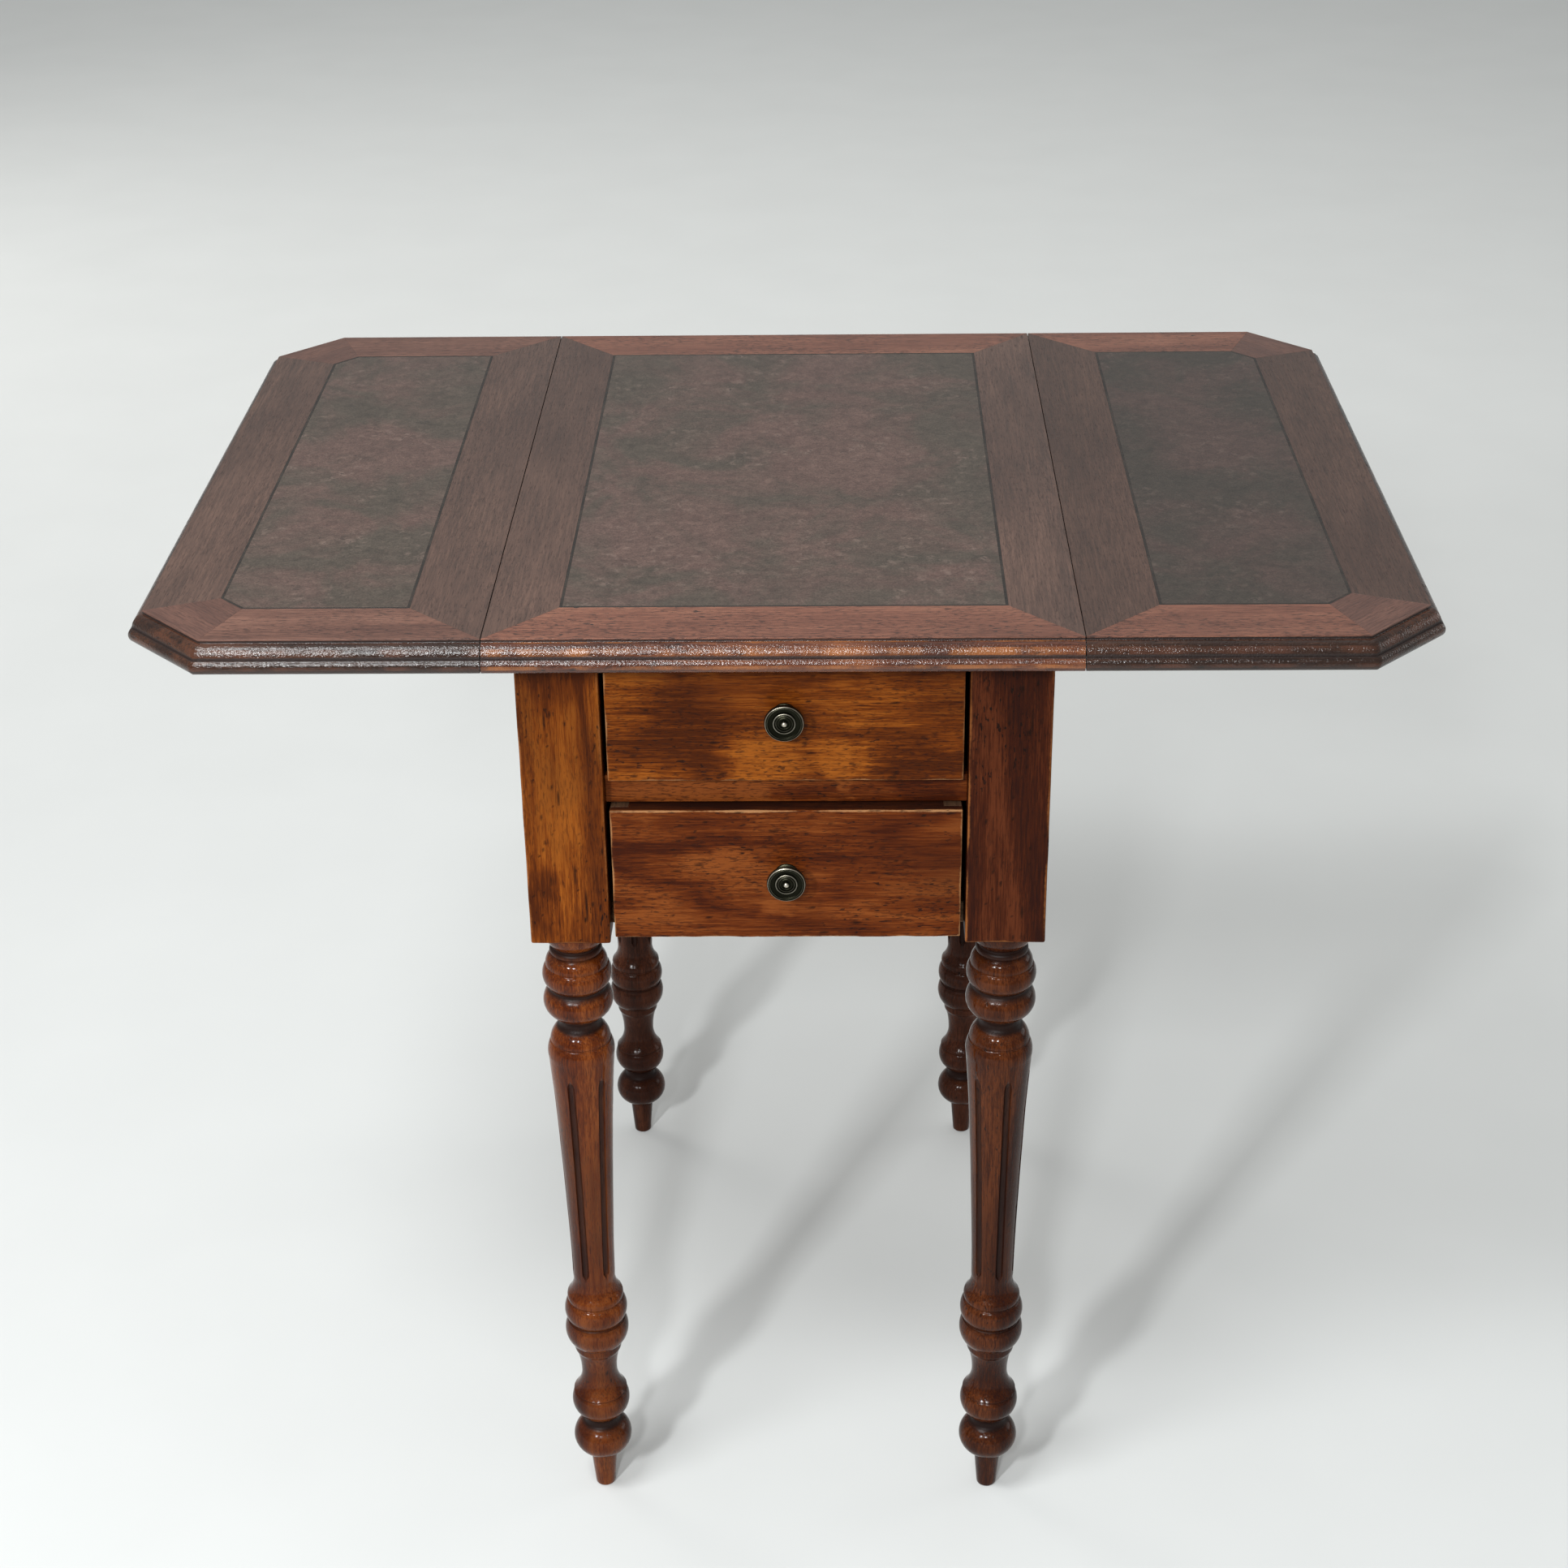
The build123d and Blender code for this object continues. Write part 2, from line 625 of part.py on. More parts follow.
def strut_pin(y):
    """A pin through the bracket's ears, riveted over at both ends."""
    reach = STRUT_T / 2 + EAR_GAP + EAR_T
    pin = rod(STRUT_PIN_R, (STRUT_X, y - reach, STRUT_Z), (0, 1, 0), 2 * reach)
    for start, axis in ((y + reach, 1), (y - reach, -1)):
        pin = pin + rod(STRUT_PIN_R + RIVET_OUT, (STRUT_X, start, STRUT_Z), (0, axis, 0), RIVET_OUT)
    return pin


def bracket_screws(y):
    x = SIDE_OUT + BRACKET_T
    offset = BRACKET_H / 2 - BRACKET_SCREW_EDGE
    return [wood_screw((x, y, STRUT_Z + dz), (-1, 0, 0), SCREW_L) for dz in (-offset, offset)]


def strut_catch(y):
    """A plate under the leaf with a shallow ramp that the strut's tip bears against."""
    z = BOARD_Z - CATCH_T
    ramp_start = STRUT_TIP_X + RAMP_START
    ramp_end = ramp_start + RAMP_L
    drop = RAMP_L * math.tan(math.radians(CATCH_SLOPE))
    outline = [
        (STRUT_TIP_X - CATCH_INNER, BOARD_Z),
        (STRUT_TIP_X - CATCH_INNER, z),
        (ramp_start, z),
        (ramp_end, z - drop),
        (ramp_end + RAMP_CREST, z - drop),
        (ramp_end + RAMP_BACK, z),
        (ramp_end + CATCH_OUTER, z),
        (ramp_end + CATCH_OUTER, BOARD_Z),
    ]
    plate = side_plate(outline, y - CATCH_W / 2, y + CATCH_W / 2)
    return less(plate, catch_screws(y))


def catch_screws(y):
    z = BOARD_Z - CATCH_T
    inner = STRUT_TIP_X - CATCH_SCREW_IN
    outer = STRUT_TIP_X + CATCH_SCREW_OUT
    places = [(inner, y - CATCH_SCREW_Y), (inner, y + CATCH_SCREW_Y), (outer, y)]
    return [wood_screw((px, py, z), (0, 0, 1), SCREW_L) for px, py in places]


# --- Assembly --------------------------------------------------------------------------
def side_names(prefix, pieces):
    return {f"{prefix}_{name}": solids for name, solids in pieces.items()}


def carcass():
    side = side_panel()
    back = back_panel()
    thin_front = DRAWER_FRONT_IN + RAIL_THIN_CLEAR
    rails = {
        "top_front_rail": front_rail(thin_front, CLEAT_Z, RAIL_THIN_T),
        "middle_front_rail": front_rail(DRAWER_FACE + RAIL_MIDDLE_SETBACK, RAIL_MIDDLE_Z, RAIL_T),
        "bottom_front_rail": front_rail(thin_front, BLOCK_Z, RAIL_THIN_T),
    }
    cleat_screws = [
        wood_screw((CLEAT_SCREW_X, y, CLEAT_Z), (0, 0, 1), CLEAT_SCREW_L) for y in CLEAT_SCREW_Y
    ]
    upper_z = RAIL_MIDDLE_Z + RAIL_T
    lower_z = BLOCK_Z + RAIL_THIN_T
    pieces = {
        "right_side_panel": [less(side, sum((bracket_screws(y) for y in STRUT_Y), []))],
        "back_panel": [back],
        "upper_drawer_runners": both_sides(runner(RAIL_MIDDLE_Z, RAIL_T)),
        "lower_drawer_runners": both_sides(runner(BLOCK_Z, RAIL_THIN_T)),
        "drawer_guides": both_sides(guide_on(upper_z)) + both_sides(guide_on(lower_z)),
        "drawer_stops": both_sides(stop_on(upper_z)) + both_sides(stop_on(lower_z)),
        "top_cleats": both_sides(less(runner(CLEAT_Z, RAIL_THIN_T), cleat_screws)),
        "top_screws": [s for screw in cleat_screws for s in both_sides(screw)],
    }
    pieces["left_side_panel"] = [mirror(pieces["right_side_panel"][0], about=Plane.YZ)]
    for name, rail in rails.items():
        pieces[name] = [rail]
    joints = both_sides(side) + [back] + list(rails.values())
    for name, turn in FLUTE_TURN.items():
        right = 1 if name.endswith("right") else -1
        rear = 1 if name.startswith("back") else -1
        leg = leg_at(right, rear, turn)
        pieces[f"{name}_leg"] = [less(leg, joints)]
    return pieces, cleat_screws


def hardware():
    """The fixed halves of the hinges and of the struts."""
    makers = {
        "hinge_fixed_plates": (fixed_plate, HINGE_Y),
        "hinge_pins": (hinge_pin, HINGE_Y),
        "strut_brackets": (strut_bracket, STRUT_Y),
        "strut_pins": (strut_pin, STRUT_Y),
    }
    pieces = {}
    for name, (make, places) in makers.items():
        pieces[name] = [p for y in places for p in both_sides(make(y))]
    hinge_screws = [s for y in HINGE_Y for s in fixed_screws(y)]
    strut_screws = [s for y in STRUT_Y for s in bracket_screws(y)]
    pieces["hinge_fixed_screws"] = [p for s in hinge_screws for p in both_sides(s)]
    pieces["strut_bracket_screws"] = [p for s in strut_screws for p in both_sides(s)]
    return pieces


def right_leaf():
    screws = [s for y in HINGE_Y for s in leaf_hinge_screws(y)]
    screws += [s for y in STRUT_Y for s in catch_screws(y)]
    pieces = {
        "leaf_board": [less(leaf_board(), screws)],
        "leaf_hinge_plates": [leaf_plate(y) for y in HINGE_Y],
        "leaf_strut_catches": [strut_catch(y) for y in STRUT_Y],
        "leaf_screws": screws,
        "leaf_struts": [strut(y) for y in STRUT_Y],
    }
    pieces.update(side_names("leaf", leaf_veneers()))
    return pieces


def table():
    nodes, cleat_screws = carcass()
    nodes.update(hardware())
    core = less(centre_board(), nodes["hinge_fixed_screws"] + nodes["top_screws"])
    nodes["centre_board"] = [core]
    nodes.update(side_names("centre", centre_veneers()))
    for name, solids in right_leaf().items():
        nodes[f"right_{name}"] = solids
        nodes[f"left_{name}"] = [mirror(s, about=Plane.YZ) for s in solids]
    for name, heights in DRAWERS.items():
        nodes.update(side_names(f"{name}_drawer", drawer(*heights)))
    return nodes


os.makedirs("parts", exist_ok=True)
for node, solids in table().items():
    shape = solids[0] if len(solids) == 1 else Compound(children=solids)
    export_step(shape, f"parts/{node}.step")
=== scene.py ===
import math

import bmesh
import bpy
import numpy as np
from mathutils import Matrix, Vector


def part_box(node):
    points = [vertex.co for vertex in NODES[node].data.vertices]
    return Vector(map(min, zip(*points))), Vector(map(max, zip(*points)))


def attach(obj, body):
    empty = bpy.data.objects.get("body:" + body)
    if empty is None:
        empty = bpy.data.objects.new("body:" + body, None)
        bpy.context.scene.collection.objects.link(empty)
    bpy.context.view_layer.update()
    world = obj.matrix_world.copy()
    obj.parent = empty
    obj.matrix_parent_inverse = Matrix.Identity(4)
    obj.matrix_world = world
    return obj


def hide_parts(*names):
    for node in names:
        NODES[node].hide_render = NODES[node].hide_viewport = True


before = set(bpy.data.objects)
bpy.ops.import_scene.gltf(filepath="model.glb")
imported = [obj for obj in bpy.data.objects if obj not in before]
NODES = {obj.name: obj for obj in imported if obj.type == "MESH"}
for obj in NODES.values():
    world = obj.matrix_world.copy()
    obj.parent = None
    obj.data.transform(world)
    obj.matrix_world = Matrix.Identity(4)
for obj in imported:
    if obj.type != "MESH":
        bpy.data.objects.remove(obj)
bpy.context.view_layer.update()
MM = 0.001

# --- Camera, floor and light -----------------------------------------------------------
CAMERA_AT = (0.0344, -1.8142, 1.4553)
CAMERA_PITCH = 28.2  # degrees below the horizon
CAMERA_YAW = -1.3
CAMERA_ROLL = -0.8
CAMERA_LENS = 62.22
SENSOR = 36.0


def add_camera():
    pitch, yaw, roll = (math.radians(a) for a in (CAMERA_PITCH, CAMERA_YAW, CAMERA_ROLL))
    level = math.cos(pitch)
    forward = Vector((math.sin(yaw) * level, math.cos(yaw) * level, -math.sin(pitch)))
    right = Vector((math.cos(yaw), -math.sin(yaw), 0))
    up = right.cross(forward)
    across = right * math.cos(roll) + up * math.sin(roll)
    upward = up * math.cos(roll) - right * math.sin(roll)
    data = bpy.data.cameras.new("camera")
    data.lens = CAMERA_LENS
    data.sensor_width = SENSOR
    camera = bpy.data.objects.new("camera", data)
    turn = Matrix((across, upward, -forward)).transposed().to_4x4()
    camera.matrix_world = Matrix.Translation(CAMERA_AT) @ turn
    bpy.context.scene.collection.objects.link(camera)
    bpy.context.scene.camera = camera


def add_area_light(name, place, target, width, height, power, tint, mirrored=True):
    """A soft light; MIRRORED says whether glossy surfaces show it."""
    data = bpy.data.lights.new(name, "AREA")
    data.shape = "RECTANGLE"
    data.size = width
    data.size_y = height
    data.energy = power
    data.color = tint
    light = bpy.data.objects.new(name, data)
    light.location = place
    light.visible_glossy = mirrored
    light.rotation_euler = (Vector(target) - Vector(place)).to_track_quat("-Z", "Y").to_euler()
    bpy.context.scene.collection.objects.link(light)


def add_stage():
    bpy.ops.mesh.primitive_plane_add(size=40)
    floor = bpy.context.object
    floor.name = "floor"
    paint = Recipe("floor_paint")
    speck = paint.noise(paint.place(), 6.0, detail=3)
    paint.finish(paint.blend(speck, (0.66, 0.67, 0.66), (0.70, 0.71, 0.70)), roughness=0.8)
    floor.data.materials.append(paint.material)
    world = bpy.data.worlds.new("world")
    world.use_nodes = True
    world.node_tree.nodes["Background"].inputs["Color"].default_value = (0.88, 0.90, 0.90, 1)
    world.node_tree.nodes["Background"].inputs["Strength"].default_value = 0.46
    bpy.context.scene.world = world
    day = (0.97, 0.99, 1.0)
    warm = (1.0, 0.99, 0.97)
    add_area_light("window_left", (-1.15, -2.35, 1.95), (0, 0, 0.5), 0.22, 0.38, 43, day)
    add_area_light("window_right", (-0.35, -2.75, 2.10), (0, 0, 0.5), 0.20, 0.34, 32, day)
    add_area_light("skylight", (-0.80, -1.00, 2.60), (-0.1, 0, 0.6), 0.85, 0.45, 33, day)
    add_area_light("ceiling", (0.0, 0.6, 3.2), (0, 0, 0), 3.0, 2.4, 12, warm)
    add_area_light("back_fill", (-3.2, 2.6, 1.2), (0, 0, 0.5), 1.4, 1.0, 30, warm, mirrored=False)
    add_area_light("side_fill", (2.6, 0.9, 1.0), (0, 0, 0.5), 1.2, 0.8, 6, warm)
    add_area_light("backdrop", (-0.8, 2.2, 3.0), (-0.8, 5.4, 0), 5.0, 1.2, 55, (1.0, 1.0, 0.98))
    bpy.context.scene.view_settings.view_transform = "Standard"


# --- Material recipes ------------------------------------------------------------------
class Recipe:
    """A material built from nodes, with one method for each kind of node it uses."""

    def __init__(self, name):
        self.material = bpy.data.materials.new(name)
        self.material.use_nodes = True
        self.tree = self.material.node_tree
        self.shader = self.tree.nodes["Principled BSDF"]

    def feed(self, socket, value):
        if isinstance(value, bpy.types.NodeSocket):
            self.tree.links.new(value, socket)
        elif isinstance(value, tuple) and len(value) == 3 and socket.type == "RGBA":
            socket.default_value = (*value, 1)
        else:
            socket.default_value = value

    def place(self, turn=0.0, mirrored=False):
        """Object coordinates, turned about Z; MIRRORED makes them the same in all four quarters."""
        point = self.tree.nodes.new("ShaderNodeTexCoord").outputs["Object"]
        if mirrored:
            absolute = self.tree.nodes.new("ShaderNodeVectorMath")
            absolute.operation = "ABSOLUTE"
            self.feed(absolute.inputs[0], point)
            point = absolute.outputs[0]
        if turn:
            point = self.mapped(point, (1, 1, 1), turn=turn)
        return point

    def mapped(self, point, scale, shift=(0, 0, 0), turn=0.0):
        node = self.tree.nodes.new("ShaderNodeMapping")
        node.inputs["Scale"].default_value = scale
        node.inputs["Location"].default_value = shift
        node.inputs["Rotation"].default_value = (0, 0, turn)
        self.feed(node.inputs["Vector"], point)
        return node.outputs[0]

    def noise_colour(self, point, scale):
        """Three independent noises, as a vector."""
        node = self.tree.nodes.new("ShaderNodeTexNoise")
        self.feed(node.inputs["Vector"], point)
        node.inputs["Scale"].default_value = scale
        node.inputs["Detail"].default_value = 2.0
        return node.outputs["Color"]

    def shifted(self, point, by):
        node = self.tree.nodes.new("ShaderNodeVectorMath")
        node.operation = "ADD"
        self.feed(node.inputs[0], point)
        self.feed(node.inputs[1], by)
        return node.outputs[0]

    def spot(self, point, centre, half):
        """1 at CENTRE, falling to 0 at the HALF sizes round it."""
        scale = tuple(1 / h for h in half)
        moved = self.mapped(point, scale, shift=tuple(-c / h for c, h in zip(centre, half)))
        node = self.tree.nodes.new("ShaderNodeTexGradient")
        node.gradient_type = "SPHERICAL"
        self.feed(node.inputs["Vector"], moved)
        return node.outputs["Fac"]

    def noise(self, point, scale, detail=2.0, roughness=0.5, distortion=0.0):
        node = self.tree.nodes.new("ShaderNodeTexNoise")
        self.feed(node.inputs["Vector"], point)
        node.inputs["Scale"].default_value = scale
        node.inputs["Detail"].default_value = detail
        node.inputs["Roughness"].default_value = roughness
        node.inputs["Distortion"].default_value = distortion
        return node.outputs["Fac"]

    def cells(self, point, scale):
        """Distance to the nearest of many scattered centres."""
        node = self.tree.nodes.new("ShaderNodeTexVoronoi")
        self.feed(node.inputs["Vector"], point)
        node.inputs["Scale"].default_value = scale
        return node.outputs["Distance"]

    def sum_of(self, a, b, operation="ADD"):
        node = self.tree.nodes.new("ShaderNodeMath")
        node.operation = operation
        self.feed(node.inputs[0], a)
        self.feed(node.inputs[1], b)
        return node.outputs[0]

    def times(self, a, b):
        return self.sum_of(a, b, "MULTIPLY")

    def step(self, value, low, high):
        """0 below LOW, 1 above HIGH, smooth between; LOW above HIGH turns it over."""
        node = self.tree.nodes.new("ShaderNodeMapRange")
        node.interpolation_type = "SMOOTHSTEP"
        self.feed(node.inputs["Value"], value)
        node.inputs["From Min"].default_value = min(low, high)
        node.inputs["From Max"].default_value = max(low, high)
        node.inputs["To Min"].default_value = 0 if low < high else 1
        node.inputs["To Max"].default_value = 1 if low < high else 0
        return node.outputs[0]

    def blend(self, share, a, b):
        """Colour A, turning into B as SHARE goes from 0 to 1."""
        node = self.tree.nodes.new("ShaderNodeMix")
        node.data_type = "RGBA"
        self.feed(node.inputs[0], share)
        self.feed(node.inputs[6], a)
        self.feed(node.inputs[7], b)
        return node.outputs[2]

    def ramp(self, value, tones):
        """The tones in even steps, over the middle half of the value's range."""
        node = self.tree.nodes.new("ShaderNodeValToRGB")
        stops = node.color_ramp.elements
        while len(stops) < len(tones):
            stops.new(0.5)
        for k, tone in enumerate(tones):
            stops[k].position = 0.25 + 0.5 * k / (len(tones) - 1)
            stops[k].color = (*tone, 1)
        self.feed(node.inputs[0], value)
        return node.outputs[0]

    def attribute(self, name):
        node = self.tree.nodes.new("ShaderNodeAttribute")
        node.attribute_name = name
        return node.outputs["Fac"]

    def finish(self, colour, roughness, height=None, depth=0.2 * MM, strength=0.5,
               metallic=0.0, coat=0.0, specular=0.5):
        self.feed(self.shader.inputs["Base Color"], colour)
        self.feed(self.shader.inputs["Roughness"], roughness)
        self.shader.inputs["Specular IOR Level"].default_value = specular
        self.shader.inputs["Metallic"].default_value = metallic
        self.shader.inputs["Coat Weight"].default_value = coat
        self.shader.inputs["Coat Roughness"].default_value = 0.16
        if height is not None:
            bump = self.tree.nodes.new("ShaderNodeBump")
            bump.inputs["Distance"].default_value = depth
            bump.inputs["Strength"].default_value = strength
            self.feed(bump.inputs["Height"], height)
            self.feed(self.shader.inputs["Normal"], bump.outputs[0])
        return self.material


def stretched(recipe, point, grain, along, across, shift):
    """Coordinates squeezed across the grain, so that noise on them runs along it."""
    scale = tuple(along if axis == grain else across for axis in "XYZ")
    return recipe.mapped(point, scale, shift=(shift, shift * 1.7, shift * 0.6))


DARK_STAIN = (0.016, 0.005, 0.003)
# Dark tone for dirt in grooves, also used as painted shade on the drawer fronts' top faces.
DIRT_AND_SHADE = (0.010, 0.004, 0.003)
DENT_TONE = (0.006, 0.003, 0.002)
DASH_TONE = (0.008, 0.004, 0.003)


def wood(name, grain, tones, seed, stain=0.6, stain_tone=DARK_STAIN, marks=0.5, flecks=0.6,
         rings=9.0, ring_share=0.35, gloss=0.34, coat=0.0, specular=0.3, peel=0.0,
         worn_tone=None, worn=0.75, spots=(), turn=0.0, mirrored=False):
    """Varnished wood: growth rings, fibre streaks, flecks, stain clouds, dark marks and worn edges.

    SPOTS are broad paler or darker patches: (centre, half sizes, how much paler).
    PEEL is the strength of the fine unevenness of thick varnish."""
    r = Recipe(name)
    point = r.place(turn, mirrored)

    def fibres(along, across, shift, **settings):
        return r.noise(stretched(r, point, grain, along, across, seed + shift), 1.0, **settings)

    growth = fibres(2.2, 15.0, 0.0, detail=2.5, distortion=0.5)
    ring = r.sum_of(r.times(growth, rings), 1.0, "PINGPONG")
    streak = fibres(14.0, 400.0, 3.1, detail=4.0, roughness=0.65)
    fibre = fibres(45.0, 900.0, 4.4, detail=3.0, roughness=0.7)
    figure = fibres(16.0, 60.0, 7.7, detail=3.0)
    tone = r.sum_of(r.times(ring, ring_share), r.times(streak, 0.62 - ring_share * 0.5))
    tone = r.sum_of(tone, r.times(figure, 0.38 - ring_share * 0.5))
    tone = r.sum_of(tone, r.times(r.sum_of(fibre, -0.5), 0.95))
    drift = r.mapped(r.noise_colour(point, 60.0), (0.03, 0.03, 0.03), shift=(-0.015,) * 3)
    wander = r.shifted(point, drift)
    for centre, half, paler in spots:
        tone = r.sum_of(tone, r.times(r.step(r.spot(wander, centre, half), 0.0, 0.75), paler))
    colour = r.ramp(tone, tones)
    mottle = fibres(5.0, 11.0, 1.3, detail=3.0)
    cloud = r.step(r.sum_of(mottle, r.times(r.sum_of(fibre, -0.5), 0.35)), 0.50, 0.70)
    colour = r.blend(r.times(cloud, stain), colour, stain_tone)
    pores = r.step(fibres(95.0, 1500.0, 0.0, detail=1.0), 0.60, 0.70)
    colour = r.blend(r.times(pores, 0.5), colour, stain_tone)
    patch = r.step(fibres(14.0, 34.0, 8.0, detail=1.0), 0.34, 0.58)
    fleck = r.step(fibres(190.0, 900.0, 6.0, detail=3.0), 0.52, 0.64)
    colour = r.blend(r.times(r.times(fleck, patch), flecks), colour, stain_tone)
    zone = r.step(fibres(9.0, 14.0, 5.0), 0.42, 0.62)
    dash = r.times(r.step(fibres(170.0, 520.0, 2.0, detail=1.5), 0.645, 0.70), zone)
    colour = r.blend(r.times(dash, marks), colour, DASH_TONE)
    rough = r.sum_of(gloss, r.times(r.sum_of(streak, pores), 0.10))
    if worn_tone:
        hollow = r.attribute("hollow")
        chafe = r.noise(point, 420.0, detail=4.0, roughness=0.7)
        rubbed = r.sum_of(r.attribute("worn"), r.times(r.sum_of(figure, chafe), 0.55))
        colour = r.blend(r.times(r.step(rubbed, 0.80, 1.30), worn), colour, worn_tone)
        # Darkens where the hollow attribute is set: dirt in the turning's grooves and flutes, darker
        # rows of the moulding, and painted shade on the drawer fronts' top faces.
        colour = r.blend(r.times(hollow, 0.93), colour, DIRT_AND_SHADE)
        colour = r.blend(r.times(r.attribute("dent"), 0.9), colour, DENT_TONE)
        rough = r.sum_of(rough, r.times(hollow, 0.35))
    pitted = r.sum_of(pores, r.times(dash, 2.0))
    if peel:
        height = r.sum_of(r.times(streak, 0.08), r.times(pitted, -0.15))
        height = r.sum_of(height, r.times(r.noise(point, 760.0, detail=2.0), peel))
    else:
        height = r.sum_of(r.times(streak, 0.35), r.times(pitted, -0.5))
    return r.finish(colour, rough, height, depth=0.22 * MM, strength=0.55, coat=coat, specular=specular)


def burl(name, seed, node, bright=1.0):
    """Polished burl veneer: grey-brown ground, drifting reddish clouds, pale flecks and dark pips."""
    r = Recipe(name)
    point = r.mapped(r.place(), (1, 1, 1), shift=(seed, seed * 0.7, 0))
    drift = r.noise(point, 12.0, detail=5.0, roughness=0.62, distortion=0.6)
    swirl = r.noise(point, 45.0, detail=6.0, roughness=0.66, distortion=1.6)
    fine = r.noise(point, 210.0, detail=4.0, roughness=0.7, distortion=1.0)
    weave = r.noise(point, 800.0, detail=2.0)
    tone = r.sum_of(r.times(swirl, 0.46), r.sum_of(r.times(fine, 0.72), r.times(weave, 0.52)))
    tone = r.sum_of(tone, -0.35)
    ground = [(0.026, 0.019, 0.013), (0.054, 0.041, 0.030), (0.090, 0.069, 0.052)]
    ruddy = [(0.044, 0.023, 0.018), (0.088, 0.050, 0.040), (0.150, 0.090, 0.071)]
    low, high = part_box(node)
    centre = (low + high) / 2
    middle = r.spot(r.place(), centre, (high.x - low.x, high.y - low.y, 1.0))
    ruddiness = r.step(r.sum_of(drift, r.times(middle, 0.22)), 0.50, 0.76)
    shades = []
    for tones in (ground, ruddy):
        shades.append(r.ramp(tone, [tuple(c * bright for c in t) for t in tones]))
    colour = r.blend(ruddiness, *shades)
    bent = r.shifted(point, r.mapped(r.noise_colour(point, 70.0), (0.02, 0.02, 0.02)))
    eye = r.cells(bent, 90.0)
    group = r.times(r.step(r.noise(point, 15.0, detail=2.0), 0.46, 0.60), r.step(fine, 0.40, 0.56))
    halo = r.times(r.step(eye, 0.46, 0.10), group)
    colour = r.blend(r.times(halo, 0.34), colour, tuple(c * bright for c in (0.215, 0.150, 0.122)))
    core = r.times(r.step(eye, 0.10, 0.05), group)
    colour = r.blend(r.times(core, 0.85), colour, (0.014, 0.009, 0.007))
    pips = r.step(r.noise(r.mapped(point, (1.0, 2.0, 1.0)), 260.0, detail=1.0), 0.69, 0.76)
    colour = r.blend(r.times(pips, 0.45), colour, (0.016, 0.011, 0.009))
    rough = r.sum_of(0.34, r.times(fine, 0.14))
    height = r.sum_of(r.times(swirl, 0.4), r.times(r.sum_of(core, pips), -0.5))
    return r.finish(colour, rough, height, depth=0.2 * MM, strength=0.35, coat=0.1, specular=0.42)


def aged_metal(name, dark, bright, roughness, seed):
    """Patinated metal: bright where rubbed, dark in the hollows."""
    r = Recipe(name)
    point = r.mapped(r.place(), (1, 1, 1), shift=(seed, seed, seed))
    patch = r.noise(point, 260.0, detail=5.0, roughness=0.65)
    fine = r.noise(point, 1800.0, detail=2.0)
    rub = r.step(r.sum_of(r.times(patch, 0.4), r.times(r.attribute("worn"), 0.8)), 0.30, 0.95)
    colour = r.blend(rub, dark, bright)
    colour = r.blend(r.times(r.attribute("hollow"), 0.9), colour, (0.008, 0.008, 0.005))
    rough = r.sum_of(roughness, r.times(fine, 0.25))
    return r.finish(colour, rough, r.sum_of(patch, fine), depth=0.08 * MM, strength=0.5, metallic=1.0)


# --- Mesh helpers ----------------------------------------------------------------------
def ripple(points, size, seed):
    """Smooth noise from -1 to 1 at each point; SIZE is about the distance between its bumps."""
    rng = np.random.default_rng(seed)
    total = np.zeros(len(points))
    for _ in range(10):
        wave = rng.normal(size=3)
        wave *= 2 * math.pi / (size * rng.uniform(0.7, 2.0) * np.linalg.norm(wave))
        total += np.sin(points @ wave + rng.uniform(0, 2 * math.pi))
    return np.clip(total / 5.5, -1, 1)


def three_point_arc(start, middle, end, steps):
    """Points along the circle through three points, without START."""
    a, b, c = (complex(*point) for point in (start, middle, end))
    ratio = (c - a) / (b - a)
    centre = (b - a) * (ratio - abs(ratio) ** 2) / (2j * ratio.imag) + a
    radius = abs(a - centre)
    spokes = (point - centre for point in (a, b, c))
    turn_a, turn_b, turn_c = (math.atan2(spoke.imag, spoke.real) for spoke in spokes)
    sweep = (turn_c - turn_a) % (2 * math.pi)
    if (turn_b - turn_a) % (2 * math.pi) > sweep:
        sweep -= 2 * math.pi
    turns = turn_a + sweep * np.arange(1, steps + 1) / steps
    return [(centre.real + radius * math.cos(t), centre.imag + radius * math.sin(t)) for t in turns]


def store(mesh, name, values):
    attribute = mesh.attributes.get(name) or mesh.attributes.new(name, "FLOAT", "POINT")
    attribute.data.foreach_set("value", np.asarray(values, np.float32))


def mesh_object(name, points, faces, body, material, replaced):
    """A new piece that rides on BODY and stands for the REPLACED nodes."""
    mesh = bpy.data.meshes.new(name)
    mesh.from_pydata([tuple(p) for p in points], [], [tuple(f) for f in faces])
    mesh.validate()
    piece = bpy.data.objects.new(name, mesh)
    bpy.context.scene.collection.objects.link(piece)
    mesh.materials.append(material)
    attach(piece, body)
    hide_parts(*replaced)
    return piece


def smooth(mesh, sharp_degrees=38.0):
    mesh.polygons.foreach_set("use_smooth", [True] * len(mesh.polygons))
    mesh.set_sharp_from_angle(angle=math.radians(sharp_degrees))


def positions(mesh):
    out = np.zeros(len(mesh.vertices) * 3)
    mesh.vertices.foreach_get("co", out)
    return out.reshape(-1, 3)


def normals(mesh):
    out = np.zeros(len(mesh.vertices) * 3)
    mesh.vertices.foreach_get("normal", out)
    return out.reshape(-1, 3)


def stations(low, high, radius, step):
    """Coordinates from LOW to HIGH, close together at the rounded ends."""
    ends = radius * np.array([0.0, 0.25, 0.6, 1.0])
    inner = np.linspace(low + radius, high - radius, max(2, round((high - low) / step)))
    return np.concatenate([low + ends[:-1], inner, (high - ends[:-1])[::-1]])


